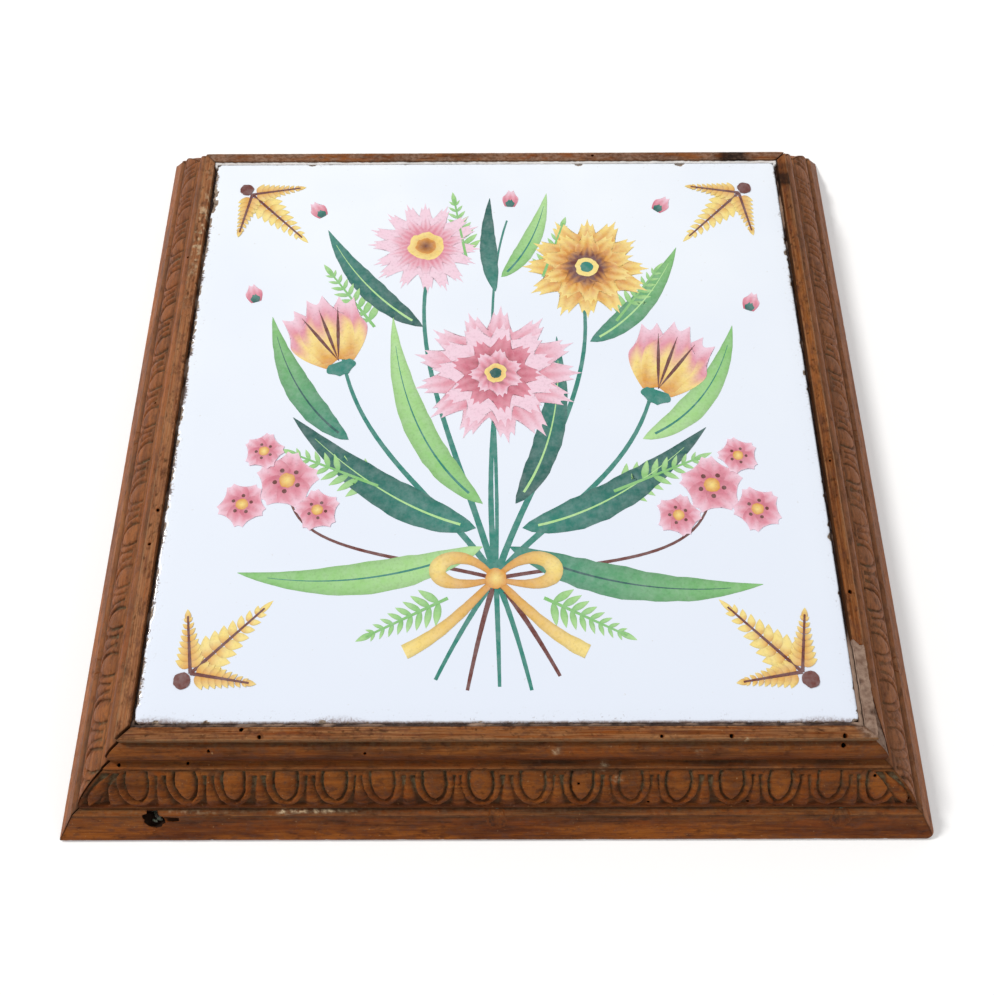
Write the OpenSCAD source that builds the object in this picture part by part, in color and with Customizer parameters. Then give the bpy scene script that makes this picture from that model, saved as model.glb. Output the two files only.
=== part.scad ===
// A table trivet: one square glazed tile, bedded on a thick board inside four mitred,
// carved wooden mouldings. Millimetres, +Z up, origin at the middle of the underside,
// and -Y is the side that faces the user.

/* [Tile] */
// Side of the square tile
tile_side = 200; // [150:1:240]
// Thickness of the tile
tile_thick = 9; // [6:0.5:12]
// Radius of the tile's upright corners
tile_corner_r = 1.8; // [0.5:0.1:4]
// Radius of the glaze where it rolls over the upper edge
tile_edge_r = 1.6; // [0.5:0.1:3]
// Bevel round the bare underside of the tile
tile_back_bevel = 1; // [0.3:0.1:2]

/* [Seat] */
// Width of the joint between the tile and the frame
joint_gap = 1; // [0.5:0.1:2]
// Depth of the putty in the joint below the tile's face
putty_drop = 1.8; // [1:0.1:4]
// Thickness of the plaster bed under the tile
bed_thick = 2.6; // [1.5:0.1:5]
// Thickness of the base board
board_thick = 17; // [13:0.5:24]
// Height of the base board above the table
board_lift = 2.5; // [1:0.1:5]

/* [Frame, from the tile outwards] */
// How far the frame stands above the tile's face
land_rise = 0.5; // [0.1:0.1:2]
// Width of the flat land round the tile
land_w = 3.8; // [2:0.1:8]
// Fall of the land towards its outer edge
land_fall = 0.2; // [0.1:0.1:0.6]
// Drop from the land to the quarter round
quirk_drop = 2.8; // [1:0.1:4]
// Radius of the quarter round under the land
round_r = 4; // [2:0.1:5]
// Upright neck under the quarter round
neck_h = 2.4; // [0.5:0.1:4]
// Width of the fillet between the quarter round and the carved band
upper_fillet_w = 2.2; // [1:0.1:4]
// Fall of each fillet towards its outer edge
fillet_fall = 0.4; // [0.1:0.1:0.8]
// Drop from the upper fillet to the carved band
band_step = 0.8; // [0.4:0.1:1.5]
// Width of the carved band, seen from above
band_w = 9; // [6:0.1:12]
// Drop of the carved band
band_drop = 9.9; // [7:0.1:12]
// How far the carved band swells beyond a flat slope
band_swell = 1.5; // [0.8:0.1:2]
// Drop from the carved band to the lower fillet
foot_step = 0.9; // [0.4:0.1:1.5]
// Width of the fillet below the carved band
lower_fillet_w = 2.2; // [1:0.1:4]
// Drop from the lower fillet to the bevel of the base
bevel_step = 0.6; // [0.3:0.1:1.2]
// Width of the bevel of the base, seen from above
bevel_w = 5.6; // [3:0.1:9]
// Upright edge at the foot of the bevel
edge_h = 0.8; // [0.4:0.1:2]

/* [Carving] */
// Distance from one egg to the next
egg_pitch = 14; // [12:0.5:20]
// Widest part of an egg, measured from its middle line
egg_half_w = 3; // [2:0.1:4]
// Length of an egg below its widest part
egg_below = 7; // [5:0.1:8.5]
// Distance from the top of the band to the widest part of an egg
egg_above = 3.4; // [1:0.1:4]
// Width of the groove round an egg
groove_w = 1.2; // [0.6:0.1:1.6]
// Width of the raised rim round the groove
rim_w = 1.4; // [0.8:0.1:2]
// Depth of the carving
carve_depth = 0.9; // [0.4:0.1:1.4]
// Uncut strip along the top and the foot of the band, and along the mitres
carve_margin = 0.4; // [0.2:0.1:0.8]
// Uncut strip above the darts
dart_start = 1.6; // [0.8:0.1:3]
// Width of a dart at its top
dart_top_w = 0.9; // [0.4:0.1:1.5]
// Width of a dart at its foot
dart_foot_w = 3.2; // [2:0.1:4.5]
// Shift of the pattern along the front rail, towards its right end
front_shift = -4; // [-7:0.1:7]
// Shift of the pattern along the right-hand rail
right_shift = -5; // [-7:0.1:7]
// Shift of the pattern along the rear rail
rear_shift = 1.2; // [-7:0.1:7]
// Shift of the pattern along the left-hand rail
left_shift = -3.5; // [-7:0.1:7]

/* [Nails] */
// Radius of a nail's shank
nail_r = 1; // [0.7:0.1:1.4]
// Radius of a nail's head
nail_head_r = 2.2; // [1.6:0.1:2.6]
// Thickness of a nail's head
nail_head_h = 0.8; // [0.5:0.1:1.2]
// Length of a nail under its head
nail_len = 38; // [30:1:60]
// Length of a nail's point
nail_point = 3; // [2:0.1:5]
// Height of the nails above the table
nail_z = 8; // [7:0.1:9]
// Distance of the end nails of the front and rear rails from the tile's corner
nail_end = 1.5; // [1:0.1:20]
// Distance of a side rail's end nail from the points of the front and rear ones
nail_apart = 4; // [3:0.5:20]
// Radius of the sunk hole over a nail's head
sink_r = 2.9; // [2.7:0.1:3.2]
// Clearance round a nail and a plug in the wood
nail_clear = 0.1; // [0.05:0.05:0.2]

/* [Repair] */
// Length of the filled break along the land, from the tile's corner
repair_len = 23; // [10:1:60]
// Depth of the filled break
repair_depth = 6.5; // [5:0.1:8]

/* [Hidden] */
$fn = 48;
// Overrun of a cut past the face that it opens
over = 1;

half = tile_side / 2;
// Distances outwards from the tile's edge, member by member
wall_w = joint_gap;
land_end = wall_w + land_w;
round_end = land_end + round_r;
upper_end = round_end + upper_fillet_w;
band_end = upper_end + band_w;
lower_end = band_end + lower_fillet_w;
rail_end = lower_end + bevel_w;
outer = half + rail_end;

// Heights, from the table up
board_top = board_lift + board_thick;
tile_z = board_top + bed_thick;
tile_top = tile_z + tile_thick;
frame_h = tile_top + land_rise;
land_z = frame_h - land_fall;
round_z = land_z - quirk_drop;
upper_z = round_z - round_r - neck_h;
band_top_z = upper_z - fillet_fall - band_step;
band_foot_z = band_top_z - band_drop;
lower_z = band_foot_z - foot_step;
bevel_z = lower_z - fillet_fall - bevel_step;

// The carved band: its slope, its length down the slope and the radius of its swell
band_angle = atan2(band_drop, band_w);
band_len = norm([band_w, band_drop]);
band_r = (pow(band_len / 2, 2) + pow(band_swell, 2)) / (2 * band_swell);
// Radius of the two arcs that meet at an egg's tip
egg_r = (pow(egg_below, 2) + pow(egg_half_w, 2)) / (2 * egg_half_w);
egg_count = ceil((half + band_end) / egg_pitch);

// The sunk nail holes end just inside the foot of the carved band
sink_w = band_end + nail_head_h / 2;
board_side = tile_side + 2 * joint_gap;
// Places of the nails along the front and rear rails, and along the side rails, which stay
// clear of the points of the others
nail_places = [-half + nail_end, 0, half - nail_end];
side_end = nail_len - sink_w + nail_apart;
side_places = [-half + side_end, 0, half - side_end];

// Places of the nails in the rail that is drawn at the front and turned by an angle
function places_at(turn) = turn % 180 == 0 ? nail_places : side_places;

// Outline of the moulding: x is the distance outwards from the tile's edge, y the height
module moulding_outline() {
    slope = [sin(band_angle), cos(band_angle)];
    top = [upper_end, band_top_z];
    foot = [band_end, band_foot_z];
    polygon([
        [wall_w, 0],
        [rail_end, 0],
        [rail_end, edge_h],
        [lower_end, bevel_z],
        [lower_end, lower_z - fillet_fall],
        [upper_end, lower_z + band_w * fillet_fall / lower_fillet_w],
        [upper_end, upper_z - fillet_fall],
        [round_end, upper_z],
        [round_end, round_z - round_r],
        [land_end, round_z - round_r],
        [land_end, land_z],
        [wall_w, frame_h]
    ]);
    translate([land_end, round_z - round_r])
        intersection() {
            circle(round_r);
            square(round_r);
        }
    intersection() {
        translate((top + foot) / 2 - slope * (band_r - band_swell)) circle(band_r, $fn = 4 * $fn);
        translate([round_end, edge_h]) square([band_end - round_end, upper_z - edge_h]);
    }
}

// A straight length of the moulding along X, on the side towards -Y
module moulding_bar() {
    translate([0, -half, 0])
        rotate([90, 0, -90])
            linear_extrude(height = 2 * outer, center = true) moulding_outline();
}

// Everything between the middle of the tile and one side of the frame
module mitre_wedge() {
    linear_extrude(height = frame_h)
        polygon([[0, 0], [-outer, -outer], [outer, -outer]]);
}

// An egg, or the same outline grown by a width: two arcs that meet in a point, cut off above
module egg_outline(grow) {
    intersection() {
        intersection_for (side = [-1, 1])
            translate([side * (egg_r - egg_half_w), -egg_above]) circle(egg_r + grow, $fn = 2 * $fn);
        translate([-egg_pitch, carve_margin - band_len])
            square([2 * egg_pitch, band_len - 2 * carve_margin]);
    }
}

// A dart's half, on one side of an egg
module dart_outline(side) {
    polygon([
        [side * (egg_pitch - dart_top_w) / 2, -dart_start],
        [side * egg_pitch, -dart_start],
        [side * egg_pitch, -band_len],
        [side * (egg_pitch - dart_foot_w) / 2, -band_len]
    ]);
}

// What is cut away round one egg: the groove inside the rim, and the pockets beside the darts
module carving_outline() {
    difference() {
        egg_outline(groove_w);
        egg_outline(0);
    }
    difference() {
        translate([-egg_pitch / 2, carve_margin - band_len])
            square([egg_pitch, band_len - carve_margin - dart_start]);
        egg_outline(groove_w + rim_w);
        for (side = [-1, 1]) dart_outline(side);
    }
}

// The carving along a whole rail, down to an even depth below the band's swell
module carving(shift) {
    translate([0, -half - upper_end, band_top_z])
        rotate([band_angle, 0, 0])
            difference() {
                for (n = [-egg_count : egg_count])
                    translate([n * egg_pitch + shift, 0, -carve_depth - over])
                        linear_extrude(height = carve_depth + band_swell + 2 * over) carving_outline();
                translate([0, -band_len / 2, band_swell - band_r])
                    rotate([0, 90, 0])
                        cylinder(r = band_r - carve_depth, h = 4 * outer, center = true, $fn = 4 * $fn);
            }
}

// One nail with its head at the bottom of the sunk hole, pointing towards the middle
module nail(x, grow) {
    translate([x, -half - sink_w, nail_z])
        rotate([-90, 0, 0]) {
            cylinder(r = nail_r + grow, h = nail_len - nail_point);
            translate([0, 0, nail_len - nail_point])
                cylinder(r1 = nail_r + grow, r2 = grow, h = nail_point + grow);
        }
}

module nail_head(x) {
    translate([x, -half - sink_w, nail_z]) rotate([90, 0, 0]) cylinder(r = nail_head_r, h = nail_head_h);
}

// The sunk hole over a nail's head, or the plug that fills it from a given distance out
module sunk_hole(x, r, from) {
    translate([x, -half - from, nail_z]) rotate([90, 0, 0]) cylinder(r = r, h = rail_end - from + over);
}

// Plan of the broken land at the front end of the right-hand rail, drawn on the front side
module repair_block() {
    translate([0, 0, frame_h - repair_depth])
        linear_extrude(height = repair_depth + over)
            polygon([
                [-half + repair_len, -half],
                [-half + repair_len, -half - land_end],
                [-half, -half - land_end],
                [-half - round_end - over, -half - round_end],
                [-half - over, -half]
            ]);
}

// A rail drawn on the front side: the moulding, carved, mitred, and bored for its nails
module rail(shift, places) {
    intersection() {
        difference() {
            moulding_bar();
            intersection() {
                carving(shift);
                translate([0, -sqrt(2) * carve_margin, 0]) mitre_wedge();
            }
            for (x = places) {
                nail(x, nail_clear);
                sunk_hole(x, sink_r, sink_w);
            }
        }
        mitre_wedge();
    }
}

module tile_section() {
    polygon([
        [-half + tile_back_bevel, 0],
        [half - tile_back_bevel, 0],
        [half, tile_back_bevel],
        [half, tile_thick - tile_edge_r],
        [-half, tile_thick - tile_edge_r],
        [-half, tile_back_bevel]
    ]);
    translate([tile_edge_r - half, tile_thick / 2])
        square([tile_side - 2 * tile_edge_r, tile_thick / 2]);
    for (side = [-1, 1])
        translate([side * (half - tile_edge_r), tile_thick - tile_edge_r]) circle(tile_edge_r);
}

module tile_plan() {
    square([tile_side - 2 * tile_corner_r, tile_side], center = true);
    square([tile_side, tile_side - 2 * tile_corner_r], center = true);
    for (x = [-1, 1], y = [-1, 1])
        translate([x, y] * (half - tile_corner_r)) circle(tile_corner_r);
}

module tile() {
    color("white")
        translate([0, 0, tile_z])
            intersection() {
                linear_extrude(height = tile_thick) tile_plan();
                rotate([90, 0, 0]) linear_extrude(height = 2 * outer, center = true) tile_section();
                rotate([90, 0, 90]) linear_extrude(height = 2 * outer, center = true) tile_section();
            }
}

module setting_bed() {
    color("gainsboro")
        translate([-half, -half, board_top])
            cube([tile_side, tile_side, bed_thick]);
}

// Old putty in the joint: four strips that meet in one ring round the tile
module edge_putty() {
    strip_h = bed_thick + tile_thick - putty_drop;
    color("dimgray")
        for (turn = [0 : 90 : 270])
            rotate([0, 0, turn])
                translate([-half, -half - joint_gap, board_top])
                    cube([tile_side + joint_gap, joint_gap, strip_h]);
}

module base_board() {
    color("burlywood")
        difference() {
            translate([-board_side / 2, -board_side / 2, board_lift])
                cube([board_side, board_side, board_thick]);
            for (turn = [0 : 90 : 270], x = places_at(turn))
                rotate([0, 0, turn]) nail(x, nail_clear);
        }
}

module rail_front() {
    color("saddlebrown") rail(front_shift, nail_places);
}

module rail_rear() {
    color("saddlebrown") rotate([0, 0, 180]) rail(rear_shift, nail_places);
}

module rail_left() {
    color("saddlebrown") rotate([0, 0, -90]) rail(left_shift, side_places);
}

// The right-hand rail is broken at its front end, where filler makes the land good
module rail_right() {
    color("saddlebrown")
        rotate([0, 0, 90])
            difference() {
                rail(right_shift, side_places);
                repair_block();
            }
}

module corner_filler() {
    color("rosybrown")
        rotate([0, 0, 90])
            intersection() {
                moulding_bar();
                repair_block();
                mitre_wedge();
            }
}

module rail_nails() {
    color("darkslategray")
        for (turn = [0 : 90 : 270], x = places_at(turn))
            rotate([0, 0, turn]) {
                nail(x, 0);
                nail_head(x);
            }
}

// Wooden plugs over the nails, flush with the moulding. The front rail has lost its left one
module nail_plugs() {
    color("sienna")
        for (turn = [0 : 90 : 270], x = places_at(turn))
            if (turn != 0 || x != nail_places[0])
                rotate([0, 0, turn])
                    intersection() {
                        moulding_bar();
                        sunk_hole(x, sink_r - nail_clear, sink_w + nail_head_h);
                    }
}

tile();
setting_bed();
edge_putty();
base_board();
rail_front();
rail_rear();
rail_left();
rail_right();
rail_nails();
nail_plugs();
corner_filler();
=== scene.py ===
import math
from types import SimpleNamespace

import bpy
import numpy as np
from mathutils import Matrix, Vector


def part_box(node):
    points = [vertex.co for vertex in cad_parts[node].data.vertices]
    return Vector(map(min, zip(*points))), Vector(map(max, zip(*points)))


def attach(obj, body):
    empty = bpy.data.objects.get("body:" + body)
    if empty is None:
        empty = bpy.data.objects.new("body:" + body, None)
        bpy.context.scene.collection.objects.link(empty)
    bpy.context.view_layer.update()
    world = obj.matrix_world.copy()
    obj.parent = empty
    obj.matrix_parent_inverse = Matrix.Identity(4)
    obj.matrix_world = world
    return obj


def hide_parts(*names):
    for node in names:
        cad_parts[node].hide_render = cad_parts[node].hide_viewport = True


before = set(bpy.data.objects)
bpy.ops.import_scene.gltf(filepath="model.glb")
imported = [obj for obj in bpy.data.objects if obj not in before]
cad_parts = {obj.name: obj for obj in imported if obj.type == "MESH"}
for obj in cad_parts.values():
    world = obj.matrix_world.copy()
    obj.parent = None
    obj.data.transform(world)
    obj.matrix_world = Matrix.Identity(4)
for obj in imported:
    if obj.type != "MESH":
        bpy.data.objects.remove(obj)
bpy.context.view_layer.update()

# Shapes are worked out in millimetres and scaled by this as they are built
MM = 0.001


def node_box(name):
    """Lowest and highest corner of a CAD node, in millimetres."""
    low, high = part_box(name)
    return np.array(low) / MM, np.array(high) / MM


# Sizes taken from the frame
HALF = node_box("tile")[1][0]
TILE_FOOT, TILE_TOP = node_box("tile")[0][2], node_box("tile")[1][2]
OUTER, FRAME_TOP = node_box("rail_front")[1][0], node_box("rail_front")[1][2]
JOINT = node_box("base_board")[1][0] - HALF
PUTTY_FOOT = node_box("edge_putty")[0][2]
FILLER_FOOT = node_box("corner_filler")[0][2]

# The moulding, outwards from the tile's edge
LAND_END = JOINT + 3.8
ROUND_R = 4.0
ROUND_END = LAND_END + ROUND_R
UPPER_END = ROUND_END + 2.2
BAND_END = UPPER_END + 9.0
LOWER_END = BAND_END + 2.2
RAIL_END = OUTER - HALF
# The moulding, downwards from the top of the frame
FILLET_FALL = 0.4
LAND_Z = FRAME_TOP - 0.2
ROUND_Z = LAND_Z - 2.8
UPPER_Z = ROUND_Z - ROUND_R - 2.4
BAND_TOP = UPPER_Z - FILLET_FALL - 0.8
BAND_FOOT = BAND_TOP - 9.9
LOWER_Z = BAND_FOOT - 0.9
BEVEL_Z = LOWER_Z - FILLET_FALL - 0.6
EDGE_H = 0.8
BAND_SWELL = 1.5
CORNER_WORN_R, CORNER_WORN_REACH = 2.4, 4.0
BAND_LEN = math.hypot(BAND_END - UPPER_END, BAND_TOP - BAND_FOOT)
# How far wear, and dirt with painted shade, reach from an arris, and the turn in radians that gathers the
# most
ARRIS_REACH, ARRIS_TURN = 0.7, 1.2

# The carving on the band
PITCH = 14.0
EGG_HALF_W = 2.8
EGG_BELOW = 7.0
EGG_ABOVE = 3.4
EGG_DEPTH, EDGE_DEPTH = 0.02, 0.42
GROOVE_W, GROOVE_DEPTH = 1.1, 0.68
RIM_W, RIM_DEPTH = 1.35, 0.1
POCKET_DEPTH = 0.95
DART_START = 1.6

# The nails
NAIL_Z = 8.0
NAIL_HEAD_W = BAND_END + 0.4
NAIL_HEAD_R = 2.2
NAIL_HEAD_H = 0.8
NAIL_R = 1.0
NAIL_LEN = 38.0
NAIL_CLEAR = 0.1
SINK_R = 2.85
PLUG_R = 2.8
OUTWARDS = (0, -1, 0)
# How far cutting shapes stand out over the wood they cut
SINK_OVER, PLUG_OVER, HOLE_OVER, REPAIR_OVER = 2.2, 2.0, 1.5, 2.0
HOLE_DEPTH = 2.6
FRONT_NAILS = (1.5 - HALF, 0.0, HALF - 1.5)
SIDE_NAILS = (-78.4, 0.0, 78.4)

# Columns along a rail: few where it is plain, more where it shows, most on the carving
COARSE, MEDIUM, FINE = 210, 420, 840
# How far the grain is shifted from one rail to the next, along it and outwards
GRAIN_SHIFT = (400, 60)

LATTICE = np.random.default_rng(11).uniform(-1, 1, (256, 256))


def smooth_noise(x, y, seed=0):
    """Smooth noise from -1 to 1, with one lattice point to a unit."""
    x = np.asarray(x, float) + 17.31 * seed
    y = np.asarray(y, float) + 7.77 * seed
    col, row = np.floor(x).astype(int), np.floor(y).astype(int)
    u, v = x - col, y - row
    u, v = u * u * (3 - 2 * u), v * v * (3 - 2 * v)
    col, row = col % 256, row % 256
    right, up = (col + 1) % 256, (row + 1) % 256
    low = LATTICE[row, col] * (1 - u) + LATTICE[row, right] * u
    high = LATTICE[up, col] * (1 - u) + LATTICE[up, right] * u
    return low * (1 - v) + high * v


def layered_noise(x, y, seed=0, octaves=3):
    """Noise with finer noise added at half the strength each time."""
    total = sum(smooth_noise(x * 2**n, y * 2**n, seed + n) / 2**n for n in range(octaves))
    return total / (2 - 2 ** (1 - octaves))


def ramp(low, high, x):
    """Rises smoothly from 0 at low to 1 at high, or falls if low is above high."""
    t = np.clip((np.asarray(x, float) - low) / (high - low), 0, 1)
    return t * t * (3 - 2 * t)


def bell(x, centre, width):
    """A smooth hump of height 1."""
    return np.exp(-(((np.asarray(x, float) - centre) / width) ** 2))


# Meshes

def add_marks(mesh, marks):
    """Stores numbers, vectors or colours on a mesh's points for its material to read."""
    kinds = {1: ("FLOAT", "value"), 3: ("FLOAT_VECTOR", "vector"), 4: ("FLOAT_COLOR", "color")}
    for key, values in marks.items():
        values = np.asarray(values, np.float32)
        kind, field = kinds[1 if values.ndim == 1 else values.shape[1]]
        mesh.attributes.new(key, kind, "POINT").data.foreach_set(field, values.ravel())


def new_object(name, points, faces, marks=None):
    """A mesh object from points in millimetres."""
    mesh = bpy.data.meshes.new(name)
    mesh.from_pydata((np.asarray(points) * MM).tolist(), [], faces)
    add_marks(mesh, marks or {})
    made = bpy.data.objects.new(name, mesh)
    bpy.context.scene.collection.objects.link(made)
    return made


def dress(piece, material, slot, *stands_for, sharp=38):
    """Finishes a piece: smooth faces with sharp arrises, its material and its place; its slot is not used.
    """
    piece.data.materials.clear()
    piece.data.materials.append(material)
    piece.data.shade_smooth()
    piece.data.set_sharp_from_angle(angle=math.radians(sharp))
    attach(piece, "root")
    if stands_for:
        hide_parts(*stands_for)
    return piece


def between(start_a, count_a, start_b, count_b, closed=False):
    """Faces between two rows of points, where one row may have twice the steps of the other."""
    steps = np.arange(min(count_a, count_b))
    jump_a, jump_b = count_a // len(steps), count_b // len(steps)
    a, b = steps * jump_a, steps * jump_b

    def at_a(k):
        return start_a + (k % count_a if closed else k)

    def at_b(k):
        return start_b + (k % count_b if closed else k)

    loop = [at_a(a), at_b(b)]
    if count_b > count_a:
        loop.append(at_b(b + 1))
    loop += [at_b(b + jump_b), at_a(a + jump_a)]
    if count_a > count_b:
        loop.append(at_a(a + 1))
    return np.column_stack(loop).tolist()


def grid_faces(rows, columns, start=0):
    """The faces of a grid of points, and the numbers of the points round its rim."""
    cell = np.arange(rows * columns).reshape(rows, columns) + start
    faces = np.stack([cell[:-1, :-1], cell[:-1, 1:], cell[1:, 1:], cell[1:, :-1]], -1).reshape(-1, 4)
    return faces, np.concatenate([cell[0, :-1], cell[:-1, -1], cell[-1, :0:-1], cell[:0:-1, 0]])


def turned(points, degrees):
    """Points turned about the upright axis."""
    c, s = math.cos(math.radians(degrees)), math.sin(math.radians(degrees))
    x, y, z = np.asarray(points, float).T
    return np.column_stack([x * c - y * s, x * s + y * c, z])


def lathe(outline, at, axis, steps=16, wobble=0.0, seed=0):
    """A closed turned shape, from an outline of distances along the axis and radii."""
    at, axis = np.asarray(at), np.asarray(axis, float) / np.linalg.norm(axis)
    side = np.cross(axis, [0.31, 0.17, 0.94])
    side /= np.linalg.norm(side)
    angle = np.arange(steps) * 2 * np.pi / steps
    ring = np.outer(np.cos(angle), side) + np.outer(np.sin(angle), np.cross(axis, side))
    points = [at + axis * outline[0][0]]
    for height, radius in outline:
        uneven = 1 + wobble * smooth_noise(2 * np.cos(angle) + 9, 2 * np.sin(angle) + height, seed)
        points.extend(at + axis * height + ring * (radius * uneven)[:, None])
    points.append(at + axis * outline[-1][0])
    faces = [[0, 1 + (k + 1) % steps, 1 + k] for k in range(steps)]
    for n in range(len(outline) - 1):
        quads = between(1 + n * steps, steps, 1 + (n + 1) * steps, steps, closed=True)
        faces += [face[::-1] for face in quads]
    top, last = 1 + (len(outline) - 1) * steps, len(points) - 1
    faces += [[last, top + k, top + (k + 1) % steps] for k in range(steps)]
    return np.array(points), faces


def joined(shapes):
    """Several (points, faces) as one."""
    points, faces = [], []
    for more_points, more_faces in shapes:
        faces += [[i + len(points) for i in face] for face in more_faces]
        points.extend(more_points)
    return np.array(points), faces


def outward(points, faces):
    """The same faces, all turned round if they face inwards."""
    volume = 0.0
    for face in faces:
        a = points[face[0]]
        for b, c in zip(face[1:-1], face[2:]):
            volume += np.dot(a, np.cross(points[b], points[c]))
    return faces if volume > 0 else [face[::-1] for face in faces]


def on_side(side, points, faces):
    """A closed shape made at the front, turned round to its own side of the frame."""
    return turned(points, side.turn), outward(points, faces)


def combine(piece, points, faces, operation, hole_shade=1.0):
    """Cuts a closed shape out of a piece, or keeps only what lies inside the shape."""
    # The cut faces are painted near black: painted shade inside the holes and the dent
    marks = {"dirt": np.ones(len(points)), "scorch": np.full(len(points), hole_shade)}
    cutter = new_object("cutter", points, faces, marks)
    modifier = piece.modifiers.new("combine", "BOOLEAN")
    modifier.object = cutter
    modifier.operation = operation
    modifier.solver = "MANIFOLD"
    bpy.context.view_layer.update()
    found = piece.evaluated_get(bpy.context.evaluated_depsgraph_get())
    mesh = bpy.data.meshes.new_from_object(found)
    piece.modifiers.clear()
    piece.data = mesh
    mesh.name = piece.name
    bpy.data.objects.remove(cutter)


# The rails

CORNERS = [
    # Distance outwards, height and rounding of each corner, then the stretch after it: its name,
    # its swell, the spacing of its rows and its columns
    (JOINT, 0, 0.15, "wall", 0, 6, COARSE),
    (JOINT, FRAME_TOP, 0.12, "land", 0, 0.35, MEDIUM),
    (LAND_END, LAND_Z, 0.35, "quirk", 0, 0.7, MEDIUM),
    (LAND_END, ROUND_Z, 0, "round", ROUND_R * (1 - math.sqrt(0.5)), 0.42, MEDIUM),
    (ROUND_END, ROUND_Z - ROUND_R, 0, "neck", 0, 0.6, MEDIUM),
    (ROUND_END, UPPER_Z, 0.15, "fillet", 0, 0.4, MEDIUM),
    (UPPER_END, UPPER_Z - FILLET_FALL, 0.25, "step", 0, 0.4, MEDIUM),
    (UPPER_END, BAND_TOP, 0, "band", BAND_SWELL, 0.27, FINE),
    (BAND_END, BAND_FOOT, 0, "step", 0, 0.45, MEDIUM),
    (BAND_END, LOWER_Z, 0.15, "lower_fillet", 0, 0.4, MEDIUM),
    (LOWER_END, LOWER_Z - FILLET_FALL, 0.3, "step", 0, 0.3, MEDIUM),
    (LOWER_END, BEVEL_Z, 0.1, "bevel", 0, 0.55, MEDIUM),
    (RAIL_END, EDGE_H, 0.25, "edge", 0, 0.4, MEDIUM),
    (RAIL_END, 0, 0.2, "under", 0, 4, COARSE),
]


def arc_points(start, end, swell, spacing):
    """Points between two ends of an arc, and how far along the straight line between them each lies."""
    start, end = np.array(start, float), np.array(end, float)
    chord = np.linalg.norm(end - start)
    steps = max(1, math.ceil(chord / spacing))
    share = np.arange(1, steps) / steps
    points = start + np.outer(share, end - start)
    if swell:
        radius = (chord**2 / 4 + swell**2) / (2 * swell)
        rise = np.sqrt(radius**2 - ((share - 0.5) * chord) ** 2) - (radius - swell)
        along = (end - start) / chord
        points += np.outer(rise, [-along[1], along[0]])
    return points, share


def moulding_rows():
    """The rows that make the moulding's outline, from the foot of its inner wall round to its underside."""
    rows = []
    places = [np.array(corner[:2], float) for corner in CORNERS]

    def add(point, stretch, share, columns):
        rows.append(SimpleNamespace(w=point[0], z=point[1], stretch=stretch, share=share, columns=columns))

    for n, (_, _, rounding, stretch, swell, spacing, columns) in enumerate(CORNERS):
        follows = (n + 1) % len(CORNERS)
        here, back, ahead = places[n], places[n - 1] - places[n], places[follows] - places[n]
        back, ahead = back / np.linalg.norm(back), ahead / np.linalg.norm(ahead)
        if rounding:
            for t in (0, 0.33, 0.67, 1):
                add(here + back * rounding * (1 - t) ** 2 + ahead * rounding * t**2, stretch, 0.0, MEDIUM)
        else:
            add(here, stretch, 0.0, columns)
        start, end = here + ahead * rounding, places[follows] - ahead * CORNERS[follows][2]
        for point, share in zip(*arc_points(start, end, swell, spacing)):
            add(point, stretch, share, columns)

    places = np.array([(row.w, row.z) for row in rows])
    back, ahead = places - np.roll(places, 1, 0), np.roll(places, -1, 0) - places
    back_len, ahead_len = np.linalg.norm(back, axis=1), np.linalg.norm(ahead, axis=1)
    back, ahead = back / back_len[:, None], ahead / ahead_len[:, None]
    turn = np.arcsin(np.clip(back[:, 0] * ahead[:, 1] - back[:, 1] * ahead[:, 0], -1, 1))
    normal = np.column_stack([-(back + ahead)[:, 1], (back + ahead)[:, 0]])
    normal /= np.linalg.norm(normal, axis=1)[:, None]
    run = np.concatenate([[0], np.cumsum(ahead_len)[:-1]])
    for n, row in enumerate(rows):
        near = bell(run, run[n], ARRIS_REACH)
        row.run = run[n]
        row.nw, row.nz = normal[n]
        # Convex turns gather wear; concave turns gather dirt, which also stands for painted shade in those
        # creases
        row.wear, row.dirt = (
            min(1.0, float((np.maximum(bent, 0) * near).sum()) / ARRIS_TURN) for bent in (-turn, turn)
        )
    return rows


ROWS = moulding_rows()


def new_side(name, turn, shift, seed, tone, gaps, nails, plugged, leaves=False, relief=1.0):
    """One side of the frame. gaps holds half of each mitre's opening, at the tile and at the outside."""
    rng = np.random.default_rng(100 + seed)
    count = math.ceil((HALF + BAND_END) / PITCH)
    eggs = np.arange(-count, count + 1)
    return SimpleNamespace(
        name=name, turn=turn, seed=seed, tone=tone, gaps=gaps, nails=nails, plugged=plugged, leaves=leaves,
        eggs=eggs * PITCH + shift + rng.uniform(-0.55, 0.55, len(eggs)),
        widths=EGG_HALF_W * rng.uniform(0.92, 1.08, len(eggs)),
        tops=EGG_ABOVE + rng.uniform(-0.35, 0.35, len(eggs)),
        leans=rng.uniform(-0.05, 0.05, len(eggs)),
        depths=relief * rng.uniform(0.8, 1.15, len(eggs)),
        glow=rng.uniform(0.2, 1.2, len(eggs)),
    )


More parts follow.
